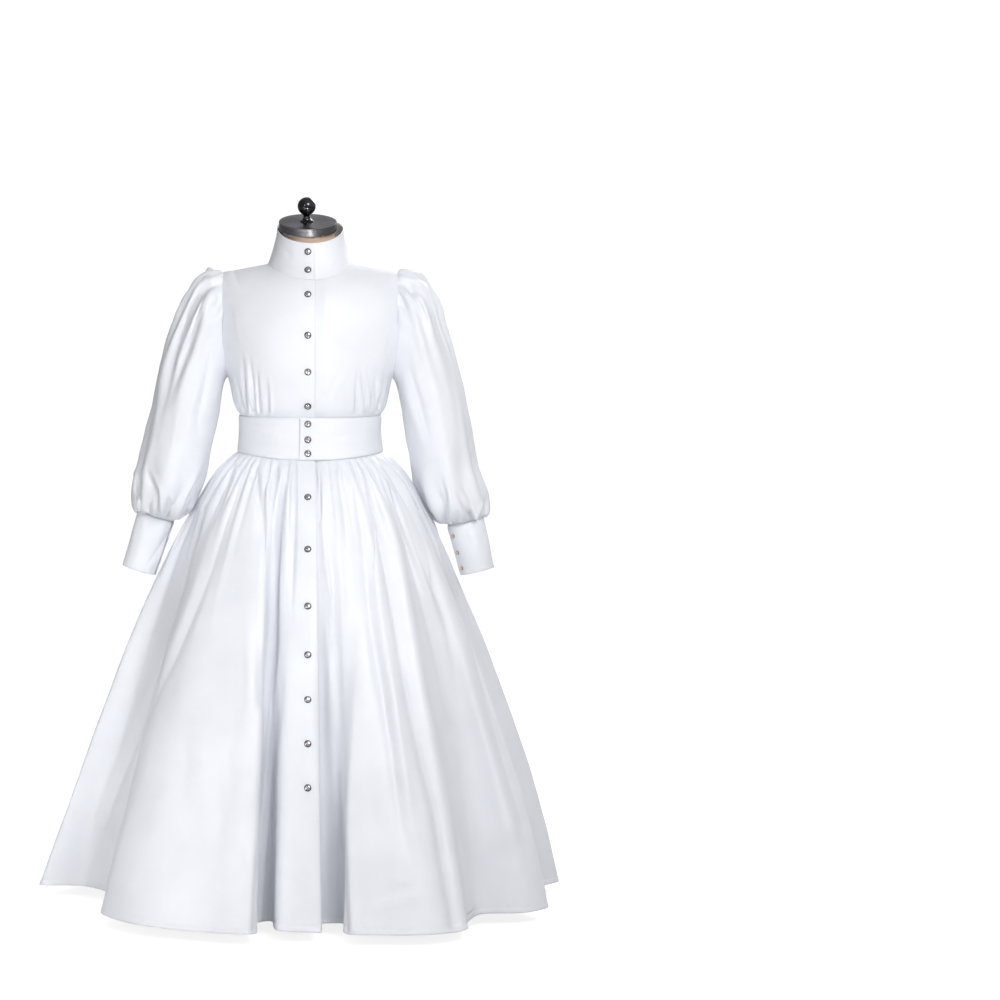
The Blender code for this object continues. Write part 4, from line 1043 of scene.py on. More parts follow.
HEM = 0.024
HEM_HALF = 0.545
HEM_FRONT = 0.515
HEM_BACK = 0.530
FLARE = 0.72
LEFT_FULLNESS = 0.012
FULLNESS_SIDE = (0.55, 1.0)
FULLNESS_LOW = 2.2
GATHER_VALLEYS = 0.75  # below 1 the valleys between the gathers are sharp
GATHER_SOFTENS = (0.04, 0.26)
BAND_HOLDS = 0.02  # creases grow over this length below the band
SIDE_SEAM = math.radians(92.0)
SKIRT_INSET = 0.0022
SKIRT_INSET_FRONT = 0.0048
SKIRT_DROP = 0.0008
TUCKED_IN = 0.007
FOLD_RATE = 0.8
CALM = 0.045
COVERED_CALM = 0.120
SKIRT_UNDER_EASE = (0.005, 0.060)
SKIRT_MIDDLE = (0.0, 0.0, 0.5)
HEM_STITCH = 0.011
HEM_TURN = 0.0006
HEM_EDGE = 0.001
HEM_STEPS = 1200
HEM_PUCKER = (0.006, 0.021, 0.0003)
HEM_GROOVE = (0.0005, 0.0018)
SKIRT_PUCKER = (0.008, 0.024, 0.0003)
SKIRT_GROOVE = (0.0008, 0.003)
LAP_COLUMNS = 8
SKIRT_WAVES = ((0.130, 0.0050, 4.0), (0.050, 0.0015, 5.0), (0.030, 0.0005, 1.0))
SKIRT_SEED = 11  # one for all three pieces, so that the swells run on over their seams

HemRow = namedtuple("HemRow", "angle reach start")
HEM_RIGHT = table(
    HemRow,
    (-94.5, 0.543, 0.00), (-89.7, 0.566, 0.00), (-87.0, 0.470, 0.10), (-80.0, 0.432, 0.12),
    (-68.0, 0.401, 0.12), (-61.4, 0.450, 0.12), (-56.8, 0.502, 0.10), (-41.7, 0.537, 0.00),
    (-24.2, 0.531, 0.00), (-12.4, 0.524, 0.00), (-14.6, 0.415, 0.03), (-12.4, 0.400, 0.03),
    (-7.1, 0.488, 0.00), (2.4, 0.503, 0.00),
)
HEM_LEFT = table(
    HemRow,
    (-3.1, 0.4865, 0.00), (1.7, 0.4930, 0.00), (2.8, 0.420, 0.30), (8.2, 0.422, 0.30),
    (7.8, 0.524, 0.30), (15.7, 0.554, 0.24), (24.4, 0.582, 0.14), (30.1, 0.581, 0.20),
    (38.9, 0.504, 0.30), (44.4, 0.482, 0.30), (53.5, 0.547, 0.20), (60.3, 0.556, 0.20),
    (69.0, 0.461, 0.20), (83.7, 0.492, 0.15), (89.5, 0.526, 0.00), (94.5, 0.520, 0.00),
)
HEM_BACK_PIECE = table(
    HemRow,
    (94.5, 0.520, 0.00), (100.2, 0.508, 0.00), (107.5, 0.430, 0.15), (120.0, 0.405, 0.15),
    (127.5, 0.500, 0.10), (134.1, 0.520, 0.00), (139.1, 0.498, 0.30), (149.6, 0.446, 0.30),
    (156.5, 0.465, 0.20), (160.0, 0.536, 0.05), (169.5, 0.564, 0.05), (175.5, 0.511, 0.25),
    (182.2, 0.530, 0.30), (187.6, 0.546, 0.20), (192.2, 0.535, 0.20), (198.0, 0.503, 0.30),
    (204.2, 0.508, 0.30), (213.2, 0.544, 0.20), (219.9, 0.542, 0.10), (226.4, 0.535, 0.10),
    (234.5, 0.433, 0.12), (249.4, 0.430, 0.12), (257.0, 0.509, 0.10), (265.5, 0.543, 0.00),
)

# How high the gathers stand down the skirt
GatherRow = namedtuple("GatherRow", "down height")
GATHER_ROWS = table(
    GatherRow,
    (0.000, 0.0012), (0.010, 0.0044), (0.028, 0.0060), (0.070, 0.0046),
    (0.130, 0.0027), (0.220, 0.0013), (0.350, 0.0005), (0.600, 0.0000),
    (1.000, 0.0000),
)
SKIRT_DOWNS = np.concatenate([
    np.linspace(0.0, 0.05, 13)[:-1],
    np.linspace(0.05, 0.30, 38)[:-1],
    np.linspace(0.30, 0.975, 70)[:-1],
    np.linspace(0.975, 1.0, 11),
])

SKIRT_CREASES = creases(
    (8.5, 4.9, -2.4, 0.12, 0.05, (-128, 918), (-136, 903), (-173, 802), (-202, 709), (-229, 636),
     (-275, 527), (-306, 465), (-335, 403), (-370, 304), (-406, 217), (-431, 138)),
    (8.5, 6.6, 4.2, 0.1, 0.5, (-117, 918), (-115, 903), (-102, 835), (-93, 767), (-91, 699), (-96, 575)),
    (7.3, 6.6, 4.2, 0.1, 0.5, (-74, 918), (-74, 893), (-84, 835), (-87, 784), (-89, 728)),
    (4.8, 9.3, 5, 0.1, 0, (-49, 918), (-53, 883), (-59, 784), (-63, 691), (-66, 556), (-79, 410),
     (-85, 330), (-102, 154), (-109, 28)),
    (9.7, 5.9, -4.2, 0.5, 0.3, (-107, 651), (-100, 556), (-99, 461), (-115, 405)),
    (7.3, 6.6, 4.2, 0.1, 0.5, (-157, 918), (-168, 883), (-190, 821), (-211, 757)),
    (7.3, 6, -3.7, 0.1, 0.4, (-29, 918), (-31, 883), (-35, 806), (-38, 709), (-40, 575)),
    (8, 7.5, 4, 0.3, 0, (25, 918), (35, 806), (46, 691), (50, 556), (53, 375), (61, 182), (68, 28)),
    (10.3, 8.2, 5.3, 0.12, 0.25, (82, 918), (86, 903), (106, 784), (122, 599), (145, 465), (164, 330),
     (180, 217), (212, 112)),
    (13, 15, 7.5, 0.12, 0, (107, 918), (111, 903), (148, 755), (184, 556), (206, 429), (229, 330),
     (251, 252), (285, 34)),
    (9.7, 6.8, 4.5, 0.12, 0.4, (136, 918), (142, 903), (193, 765), (239, 609), (265, 501), (281, 386)),
    (9.7, 6, 4.2, 0.12, 0.5, (161, 910), (174, 868), (221, 738), (273, 609), (302, 480)),
    (7.3, 5.5, -3.7, 0.1, 0.5, (58, 918), (60, 893), (69, 821), (77, 728)),
    (14.5, 7.9, -5.6, 0.35, 0.1, (310, 655), (358, 465), (402, 304), (445, 154)),
    (8.5, 2.4, 1.9, 0.4, 0.4, (82, 75), (166, 103), (240, 119)),
    (17.4, 2.1, 1.6, 0.4, 0.4, (-258, 423), (-244, 330), (-263, 219)),
    (16, 1.8, -1.4, 0.4, 0.4, (-189, 348), (-173, 237), (-187, 127)),
    (17.4, 2.1, 1.6, 0.4, 0.4, (-139, 461), (-162, 348), (-153, 237)),
    (16, 1.8, 1.4, 0.4, 0.4, (99, 423), (110, 293), (137, 182)),
    (17.4, 1.9, -1.4, 0.4, 0.4, (316, 386), (330, 274), (371, 163)),
    (2.2, 8, 0.6, 0.45, 0.15, (18.5, 895), (18.6, 850), (19.2, 803)),
    (15, 20, 0, 0.45, 0, (23, 720), (27, 500), (31, 300), (34, 30)),
)
SKIRT_BACK_CREASES = creases(
    (16.5, 11.9, -7.6, 0.12, 0.1, (153, 994), (163, 961), (225, 800), (282, 611), (336, 304), (355, 151)),
    (13.5, 10.2, 6.8, 0.12, 0.2, (108, 994), (134, 821), (145, 611), (188, 353), (200, 142)),
    (12.8, 10.5, 6.8, 0.12, 0.2, (60, 994), (81, 821), (108, 611), (121, 404), (136, 142)),
    (12, 8.8, -6.1, 0.12, 0.3, (23, 994), (34, 821), (41, 611), (36, 353)),
    (12.8, 10.2, 6.5, 0.12, 0.2, (-33, 994), (-37, 821), (-41, 611), (-47, 353), (-54, 142)),
    (13.5, 10.2, -6.8, 0.12, 0.2, (-75, 994), (-98, 821), (-137, 611), (-181, 404), (-200, 142)),
    (13.5, 9.5, -6.5, 0.12, 0.3, (-113, 994), (-154, 821), (-218, 664), (-275, 472)),
    (16.5, 11.2, 7.1, 0.12, 0.1, (-143, 994), (-186, 821), (-271, 664), (-345, 506), (-360, 162)),
    (12, 8.2, 5.8, 0.12, 0.5, (-5, 994), (-5, 887), (-2, 747)),
    (12, 7.8, 5.8, 0.12, 0.5, (130, 994), (160, 887), (212, 747)),
)


def hem_curve(rows):
    """Smooth hem line of a piece: points with where each fold starts, and the length along it."""
    angle = np.radians([row.angle for row in rows])
    reach = np.array([row.reach for row in rows])
    start = np.array([row.start for row in rows])
    points = np.stack([reach * np.sin(angle), -reach * np.cos(angle), start], axis=-1)
    chord = np.concatenate([[0.0], np.cumsum(np.hypot(*np.diff(points[:, :2], axis=0).T))])
    fine = smooth_between(chord, points, np.linspace(0.0, chord[-1], HEM_STEPS))
    fine[:, 2] = np.maximum(fine[:, 2], 0.0)
    along = np.concatenate([[0.0], np.cumsum(np.hypot(*np.diff(fine[:, :2], axis=0).T))])
    return fine, along


def skirt_row(hem, waist, share, down, height):
    """Row of a skirt piece: out from the waist oval towards the hem's envelope, then into its folds."""
    hem_x, hem_y, start = hem
    foot = BAND[0]
    inset = (foot.half_width - SKIRT_INSET, foot.front - SKIRT_INSET_FRONT, foot.back - SKIRT_INSET)
    x, y = oval(waist, *inset)
    out_x, out_y = oval(share, HEM_HALF, HEM_FRONT, HEM_BACK)
    flare = down ** FLARE
    fold = np.clip((down - start) / (1.0 - start), 0.0, 1.0) ** FOLD_RATE
    swing = math.sin(math.pi * down ** FULLNESS_LOW)
    fullness = LEFT_FULLNESS * smooth_step(*FULLNESS_SIDE, np.sin(share)) * swing
    top = band_bottom(waist) - SKIRT_DROP
    return np.stack([
        x + flare * (out_x - x) + fold * (hem_x - out_x) + height * np.sin(waist) + fullness,
        y + flare * (out_y - y) + fold * (hem_y - out_y) - height * np.cos(waist),
        top + (HEM - top) * down,
    ], axis=-1)


def gather_wave(turns, down):
    """Rounded gathers between sharp valleys at the band, softer further down. -1 to 1, one for each turn."""
    sharp = 2.0 * np.abs(np.cos(math.pi * turns)) ** GATHER_VALLEYS - 1.0
    soft = smooth_step(*GATHER_SOFTENS, down)
    return sharp * (1.0 - soft) + np.cos(2 * math.pi * turns) * soft


def draw_in_ends(rows, gap):
    """Moves both ends of each row in along it by a gap, one value or one for each row."""
    for end, inner in ((0, 1), (-1, -2)):
        step = rows[:, inner] - rows[:, end]
        rows[:, end] += np.reshape(gap, (-1, 1)) * step / np.linalg.norm(step, axis=-1, keepdims=True)


def make_skirt_piece(name, node, rows, waist_ends, gathers, columns, seed, lap_end=None):
    """A skirt piece from its hem table. lap_end is 0 or -1, the end of the row at the front closure."""
    fine, fine_along = hem_curve(rows)
    total = fine_along[-1]
    flat = 2 * FRONT_LAP if lap_end is not None else 0.0
    flat_end = waist_ends[0] + math.copysign(flat / BAND[0].half_width, waist_ends[1] - waist_ends[0])
    along = np.linspace(flat, total, columns)
    gathered = (along - flat) / (total - flat)
    waist = flat_end + (waist_ends[1] - flat_end) * gathered
    if lap_end is not None:
        lapped = np.arange(LAP_COLUMNS) / LAP_COLUMNS
        along = np.concatenate([lapped * flat, along])
        gathered = np.concatenate([0.0 * lapped, gathered])
        waist = np.concatenate([waist_ends[0] + (flat_end - waist_ends[0]) * lapped, waist])
    first = COVERED_CALM if lap_end == 0 else CALM
    calm = smooth_step(0.0, CALM, total - along) * smooth_step(0.1 * first, first, along - flat)
    hem_from = along if lap_end != -1 else total - along
    hem = [np.interp(hem_from, fine_along, fine[:, k]) for k in range(3)]
    ends = np.radians([rows[0].angle, rows[-1].angle])
    share = np.interp(hem_from, [0.0, total], ends)
    # No two gathers are alike: their places shift, and their heights differ
    uneven = 0.9 * np.sin(5.0 * math.pi * gathered + seed) + 0.7 * np.sin(13.0 * gathered + 1.0)
    uneven += 0.5 * np.sin(37.0 * gathered + 2 * seed)
    depth = (0.72 + 0.16 * np.sin(29.0 * gathered) + 0.16 * np.sin(53.0 * gathered + seed)) * calm
    turns = gathers * gathered + uneven / (2 * math.pi)

    tucked = skirt_row(hem, waist, share, 0.0, 0.0)
    tucked[:, 2] += TUCKED_IN
    grid = [tucked]
    for down in SKIRT_DOWNS:
        height = smooth_column(GATHER_ROWS, "height", down) * gather_wave(turns, down) * depth
        grid.append(skirt_row(hem, waist, share, down, height))
    grid = np.stack(grid)
    if lap_end == 0:
        under = under_layer(flat, SKIRT_UNDER_EASE, along)
        grid -= grid_normals(grid, SKIRT_MIDDLE) * under[None, :, None]
    draw_in_ends(grid, SEAM)

    normals = grid_normals(grid, SKIRT_MIDDLE)
    visible = smooth_step(0.0, BAND_HOLDS, edge_distance(grid, 0, 0) - TUCKED_IN)[..., None]
    before = grid.copy()
    press_creases(grid, normals, SKIRT_CREASES, SKIRT_BACK_CREASES)
    wander(grid, normals, SKIRT_WAVES, SKIRT_SEED, 0)
    grid = before + (grid - before) * visible
    to_hem = edge_distance(grid, 0, -1)
    pucker(grid, normals, to_hem - HEM_STITCH, HEM_PUCKER, seed)
    turned_up = 1.0 - smooth_step(HEM_STITCH - HEM_EDGE, HEM_STITCH + HEM_EDGE, to_hem)
    grid += normals * (HEM_TURN * turned_up)[..., None]
    press_line(grid, normals, to_hem - HEM_STITCH, HEM_GROOVE)
    for end in ((0, -1) if lap_end is None else (-1,)):
        seam = edge_distance(grid, 1, end)
        pucker(grid, normals, seam, SKIRT_PUCKER, seed + 1)
        press_line(grid, normals, seam, SKIRT_GROOVE)
    piece = sew(name, node, grid, SKIRT_MIDDLE, CLOTH)
    lines = [line_at(grid, normals, 0, HEM_STITCH, end=-1)]
    if lap_end == -1:
        lines += [line_at(grid, normals, 1, distance) for distance in PLACKET_STITCHES]
    stitches = stitch_lines("stitches_" + node, lines)


over_edge = math.asin((SNAP_LINE + FRONT_LAP) / BAND[0].half_width)
under_edge = math.asin((SNAP_LINE - FRONT_LAP) / BAND[0].half_width)
make_skirt_piece(
    "skirt_right_satin", "skirt_front_right", HEM_RIGHT, (over_edge, -SIDE_SEAM),
    gathers=12, columns=230, seed=11, lap_end=-1,
)
make_skirt_piece(
    "skirt_left_satin", "skirt_front_left", HEM_LEFT, (under_edge, SIDE_SEAM),
    gathers=12, columns=230, seed=12, lap_end=0,
)
make_skirt_piece(
    "skirt_back_satin", "skirt_back", HEM_BACK_PIECE, (SIDE_SEAM, 2 * math.pi - SIDE_SEAM),
    gathers=24, columns=280, seed=13,
)


# The sleeves: long and full, gathered into the armhole at the head and into the cuff at the wrist, each
# from one piece of satin with its seam under the arm and a short slit above the cuff.

SLEEVE_COLUMNS = 152
SLEEVE_PARTS = 9
SLEEVE_FORWARD = -0.012
SLEEVE_FORWARD_FROM = (0.1, 0.8)  # shares of the arm over which it comes forward
HEAD_GATHERS = 13
HEAD_OVER = (-0.3, 0.35)  # the head is gathered over the shoulder only
CUFF_GATHERS = 8
SLIT_RINGS = 3.4
SLIT_HALF = 0.0010
SLIT_OPENS = 0.3
SLEEVE_INSET = 0.0049
SLEEVE_WAVES = ((0.080, 0.0034, 1.0), (0.030, 0.0010, 1.0))
SLEEVE_GROOVE = (0.0009, 0.0026)
SLEEVE_ENDS = (-0.012, 0.06)  # shares of the cuff at which the sleeve's last two rings lie inside it
ARMHOLE_UNDER = 0.0016  # the sleeve's edge runs this far under the bodice's
# Ring numbers over which the cloth comes free of the armhole and is caught again by the cuff, for the random
# swells and for all folds, and the ring where the cuff's gathers are sharpest
SWELL_FREE = ((0.0, 1.2), (9.6, 10.6))
FOLDS_FREE = ((0.0, 0.5), (10.2, 10.9))
WRIST_RING = 10.4
HEAD_SPAN = 12
WRIST_SPAN = 14

SleeveRing = namedtuple("SleeveRing", "outer_x outer_z inner_x inner_z half_depth armhole head cuff")
SLEEVES = {
    "left": table(
        SleeveRing,
        (0.1818, 1.3070, 0.1712, 1.0900, 0.060, 1.00, 0.0000, 0.0000),
        (0.2020, 1.3120, 0.1770, 1.0845, 0.069, 0.55, 0.0046, 0.0000),
        (0.2340, 1.3005, 0.1800, 1.0750, 0.076, 0.20, 0.0058, 0.0000),
        (0.2585, 1.2600, 0.1845, 1.0450, 0.080, 0.00, 0.0044, 0.0000),
        (0.2800, 1.2000, 0.1900, 1.0100, 0.081, 0.00, 0.0028, 0.0000),
        (0.3120, 1.0950, 0.2030, 0.9500, 0.080, 0.00, 0.0012, 0.0000),
        (0.3335, 0.9900, 0.2135, 0.8930, 0.078, 0.00, 0.0004, 0.0010),
        (0.3500, 0.9050, 0.2185, 0.8680, 0.077, 0.00, 0.0000, 0.0030),
        (0.3655, 0.8500, 0.2300, 0.8420, 0.073, 0.00, 0.0000, 0.0054),
        (0.3690, 0.8120, 0.2450, 0.8120, 0.062, 0.00, 0.0000, 0.0064),
        (0.3650, 0.8005, 0.2680, 0.7880, 0.044, 0.00, 0.0000, 0.0036),
    ),
    "right": table(
        SleeveRing,
        (0.1818, 1.3070, 0.1712, 1.0900, 0.060, 1.00, 0.0000, 0.0000),
        (0.2010, 1.3105, 0.1770, 1.0845, 0.069, 0.55, 0.0046, 0.0000),
        (0.2290, 1.2985, 0.1800, 1.0750, 0.076, 0.20, 0.0056, 0.0000),
        (0.2510, 1.2600, 0.1845, 1.0450, 0.080, 0.00, 0.0044, 0.0000),
        (0.2815, 1.2000, 0.1900, 1.0100, 0.081, 0.00, 0.0028, 0.0000),
        (0.3145, 1.0950, 0.2030, 0.9500, 0.080, 0.00, 0.0012, 0.0000),
        (0.3380, 0.9900, 0.2130, 0.8950, 0.078, 0.00, 0.0004, 0.0010),
        (0.3578, 0.9050, 0.2190, 0.8800, 0.077, 0.00, 0.0000, 0.0030),
        (0.3645, 0.8520, 0.2370, 0.8400, 0.072, 0.00, 0.0000, 0.0054),
        (0.3650, 0.8270, 0.2500, 0.8150, 0.061, 0.00, 0.0000, 0.0064),
        (0.3620, 0.8120, 0.2690, 0.7970, 0.043, 0.00, 0.0000, 0.0036),
    ),
}

# Long soft folds down a sleeve: angle from its outer edge towards the front, half angle, depth
SleeveFold = namedtuple("SleeveFold", "angle spread depth")
SLEEVE_FOLDS = table(
    SleeveFold,
    (24.0, 11.0, 0.0035),
    (50.0, 14.0, 0.0045),
    (-30.0, 14.0, 0.0040),
    (-62.0, 15.0, 0.0035),
)
SLEEVE_CREASES = {
    "right": creases(
        (8.5, 9.7, -5.2, 0.25, 0.5, (-205, 1307), (-230, 1272), (-253, 1231), (-278, 1156), (-294, 1075),
         (-311, 982)),
        (8, 8.4, 5.2, 0.25, 0.5, (-201, 1297), (-218, 1268), (-232, 1224), (-253, 1148), (-280, 1075),
         (-299, 1003)),
        (6, 5.9, 3.9, 0.2, 0.5, (-182, 1293), (-187, 1251), (-199, 1197)),
        (10, 6.5, -3.9, 0.5, 0.5, (-199, 1189), (-211, 1096), (-228, 1003), (-232, 930)),
        (4.8, 7.8, 4.4, 0.5, 0, (-340, 915), (-334, 891), (-317, 857), (-315, 804)),
        (4, 6, -3.1, 0.4, 0, (-352, 905), (-355, 857), (-352, 808)),
        (4.6, 7, -3.9, 0.5, 0, (-214, 915), (-232, 874), (-249, 841), (-263, 799)),
        (4, 5.2, 3.1, 0.6, 0, (-290, 862), (-290, 833), (-294, 801)),
    ),
    "left": creases(
        (8.5, 10.1, 5.7, 0.2, 0.5, (195, 1293), (211, 1272), (230, 1235), (249, 1185)),
        (7, 8.8, 4.7, 0.2, 0.5, (178, 1272), (191, 1245), (203, 1214), (216, 1177)),
        (10, 7.8, 4.7, 0.3, 0.5, (228, 1289), (261, 1220), (288, 1144), (313, 1044)),
        (9, 5.5, -3.9, 0.5, 0.5, (191, 1158), (214, 1075), (238, 992), (261, 924)),
        (4.8, 7.5, 4.4, 0.5, 0, (265, 899), (276, 857), (282, 820), (284, 779)),
        (4.6, 7.5, 4.4, 0.5, 0, (299, 866), (313, 837), (330, 812), (338, 789)),
        (4.2, 6.2, -3.1, 0.5, 0, (369, 849), (365, 824), (352, 795)),
        (4, 5.7, 3.1, 0.5, 0, (303, 824), (305, 806), (307, 783)),
    ),
}
SLEEVE_BACK_CREASES = {
    "left": creases(
        (8.5, 9.7, -5.2, 0.25, 0.5, (228, 1372), (251, 1302), (268, 1227), (288, 1127)),
        (7, 7.8, 4.7, 0.25, 0.5, (208, 1377), (218, 1322), (228, 1262)),
        (5, 7.5, 3.9, 0.5, 0, (288, 964), (281, 931), (283, 891)),
        (4.6, 6.8, -3.6, 0.5, 0, (318, 946), (313, 921), (303, 891)),
        (9, 6, 3.9, 0.5, 0.5, (218, 1227), (228, 1127), (251, 1027)),
    ),
    "right": creases(
        (8.5, 9.7, 5.2, 0.25, 0.5, (-198, 1372), (-228, 1302), (-253, 1227), (-278, 1127)),
        (7, 7.8, -4.7, 0.25, 0.5, (-183, 1377), (-193, 1322), (-208, 1252)),
        (5, 7.5, 3.9, 0.5, 0, (-278, 976), (-298, 931), (-333, 886)),
        (4.6, 6.8, -3.6, 0.5, 0, (-368, 946), (-363, 921), (-353, 886)),
        (9, 6, -3.9, 0.5, 0.5, (-208, 1227), (-228, 1127), (-253, 1014)),
    ),
}

# The cuff that a sleeve ends in: its side, the middle of its top and of its hand edge, the angle where it
# opens, the lap of its ends, the way that its covering end runs, where its buttons sit, and how far its
# covering edge stands off the end below
CuffShape = namedtuple("CuffShape", "side top end opening lap travel_sign button_angle gape")
CUFFS = {
    "left": CuffShape(1, (0.3240, -0.012, 0.7870), (0.3483, -0.020, 0.6857), 165, 36, 1, 143, 0.0006),
    "right": CuffShape(-1, (0.3205, -0.012, 0.7973), (0.3544, -0.020, 0.6883), 156, 62, -1, 212, 0.0024),
}
CUFF_HALF_WIDTH = (0.0405, 0.0368)
CUFF_HALF_DEPTH = (0.0310, 0.0335)


def cuff_centre(cuff, share):
    return np.array(cuff.top) + (np.array(cuff.end) - np.array(cuff.top)) * share


def cuff_point(cuff, angle, share, drop=0.0):
    """Point of a cuff's outer face on the +X side, its angle from the outer edge over the front."""
    axis = cuff_centre(cuff, 1.0) - cuff_centre(cuff, 0.0)
    outwards = np.array((-axis[2], 0.0, axis[0])) / np.linalg.norm(axis)
    wide, deep = (top + (end - top) * share - drop for top, end in (CUFF_HALF_WIDTH, CUFF_HALF_DEPTH))
    point = cuff_centre(cuff, share) + (wide * np.cos(angle))[:, None] * outwards
    point[:, 1] -= deep * np.sin(angle)
    return point


def armhole(angle):
    """The armhole's outline on the +X side, from the shoulder (0) down the front to the underarm (180)."""
    middle = (SHOULDER_END + UNDERARM) / 2
    z = middle + (SHOULDER_END - UNDERARM) / 2 * np.cos(angle)
    level = np.minimum(z, CHEST)
    x = np.where(z > CHEST, SHOULDER_HALF, smooth_column(BODICE, "half_width", level))
    roll = np.arcsin(np.clip((z - CHEST) / (SHOULDER_END - CHEST), 0.0, 1.0))
    ahead = np.sin(angle) > 0
    depth = np.where(ahead, -chest_depth(x, level, False), chest_depth(x, level, True))
    depth = depth * np.cos(roll)
    return np.stack([x - ARMHOLE_UNDER, depth, z], axis=-1)


def plain_ring(ring, down, angle):
    """A ring of a sleeve on the +X side before its gathers, its angle from the outer edge over the front."""
    outer = np.array([ring.outer_x, ring.outer_z])
    inner = np.array([ring.inner_x, ring.inner_z])
    centre = (outer + inner) / 2
    half = (outer - inner) / 2
    across = np.cos(angle)
    ahead = np.sin(angle) * ring.half_depth
    forward = SLEEVE_FORWARD * smooth_step(*SLEEVE_FORWARD_FROM, down)
    point = np.stack([centre[0] + half[0] * across, forward - ahead, centre[1] + half[1] * across], -1)
    return point * (1.0 - ring.armhole) + armhole(angle) * ring.armhole


def free_between(at, free):
    """1 where the cloth is free, falling to 0 towards both held ends, by two ranges of ring numbers."""
    return smooth_step(*free[0], at) * (1.0 - smooth_step(*free[1], at))


def make_sleeve(word, seed):
    """Puffed sleeve, gathered at its head and cuff, its last part inside the cuff and open at the slit."""
    cuff = CUFFS[word]
    mirror = (cuff.side, 1.0, 1.0)
    angle = math.radians(cuff.opening) + np.linspace(0.0, 2 * math.pi, SLEEVE_COLUMNS + 1)
    rings = SLEEVES[word]
    grid = [plain_ring(ring, i / len(rings), angle) for i, ring in enumerate(rings)]
    grid += [cuff_point(cuff, angle, share, SLEEVE_INSET) for share in SLEEVE_ENDS]
    grid = split_rows(np.stack(grid), SLEEVE_PARTS)
    inside = grid.reshape(-1, 3).mean(axis=0)
    normals = grid_normals(grid, inside)
    at = np.arange(len(grid)) / SLEEVE_PARTS
    numbers = np.arange(len(rings) + 2.0)
    head, wrist = (
        smooth_between(numbers, np.array([getattr(ring, name) for ring in rings] + [0.0, 0.0]), at)
        for name in ("head", "cuff")
    )
    over = smooth_step(*HEAD_OVER, np.cos(angle))
    swell = np.zeros(grid.shape[:2])
    for i, place in enumerate(at):
        uneven = 0.35 * math.sin(3 * place) + 0.5 * np.sin(2 * angle)
        head_turns = (HEAD_GATHERS * angle + uneven) / (2 * math.pi)
        wrist_turns = (CUFF_GATHERS * angle + uneven) / (2 * math.pi)
        swell[i] += head[i] * over * gather_wave(head_turns, place / HEAD_SPAN)
        swell[i] += wrist[i] * gather_wave(wrist_turns, (WRIST_RING - place) / WRIST_SPAN)
        fold_height = math.sin(math.pi * min(place / len(rings), 1.0))
        for fold in SLEEVE_FOLDS:
            off = (np.degrees(angle) - fold.angle + 180.0) % 360.0 - 180.0
            swell[i] -= fold.depth * fold_height * np.exp(-((off / fold.spread) ** 2))
    plain = grid * mirror
    grid += normals * swell[..., None]
    normals = grid_normals(grid, inside) * mirror
    grid *= mirror
    inside = inside * mirror

    press_creases(grid, normals, SLEEVE_CREASES[word], SLEEVE_BACK_CREASES[word])
    rough = grid.copy()
    wander(rough, normals, SLEEVE_WAVES, seed)
    grid += (rough - grid) * free_between(at, SWELL_FREE)[:, None, None]
    grid = plain + (grid - plain) * free_between(at, FOLDS_FREE)[:, None, None]
    seam = (grid[:, 0] + grid[:, -1]) / 2
    grid[:, 0], grid[:, -1] = seam, seam
    press_line(grid, normals, edge_distance(grid, 0, 0), SLEEVE_GROOVE)
    slit = int(round((len(rings) + 1 - SLIT_RINGS) * SLEEVE_PARTS))
    open_rows = np.arange(len(grid) - slit) / (len(grid) - slit)
    draw_in_ends(grid[slit:], SLIT_HALF * smooth_step(0.0, SLIT_OPENS, open_rows))
    piece = sew("sleeve_" + word + "_satin", "sleeve_" + word, grid, inside, CLOTH, slit_from=slit + 1)


make_sleeve("left", 21)
make_sleeve("right", 22)


# The cuffs: deep bands of two layers of satin, lapped at the slit and closed with three flat buttons each.
# The covering end is the front one on the left and the back one on the right.

CUFF_EASE = (0.18, 0.68)
CUFF_GAPE_REACH = 0.007
CUFF_COLUMNS = 160
CUFF_ROWS = 40
CUFF_RISE = -0.022  # the cuff's top edge reaches up into the puffs
CUFF_WAVES = ((0.035, 0.0010, 1.0),)
CUFF_PUCKER = (0.005, 0.012, 0.00022)
CUFF_GROOVE = (0.0018, 0.0030)
CUFF_STITCHES = (0.0030, (0.0026,))
CUFF_BUTTONS = (0.20, 0.54, 0.86)
BUTTON_RADIUS = 0.0046
BUTTON_HEIGHT = 0.0022
BUTTON_LIFT = 0.0004
SHELL_PINK = (0.72, 0.60, 0.53)
SHELL_RIM = (0.36, 0.22, 0.16)
CUFF_CREASES = {
    "right": creases(
        (5, 2.8, 1.6, 0.1, 0.3, (-290, 772), (-307, 743), (-340, 694)),
        (4, 1.2, 1, 0.3, 0.6, (-340, 797), (-338, 781), (-340, 762)),
    ),
    "left": creases(
        (6, 1.4, 1.2, 0.3, 0.5, (328, 775), (336, 750), (332, 721)),
        (5, 1.2, 1, 0.3, 0.5, (365, 779), (361, 754), (367, 729)),
    ),
}


def radius_from_axis(material, place):
    x, y, _ = add_node(material, "SeparateXYZ", (("Vector", place),)).outputs
    radial = add_node(material, "CombineXYZ", (("X", x), ("Y", y))).outputs[0]
    return add_node(material, "VectorMath", ((0, radial),), operation="LENGTH").outputs[1]


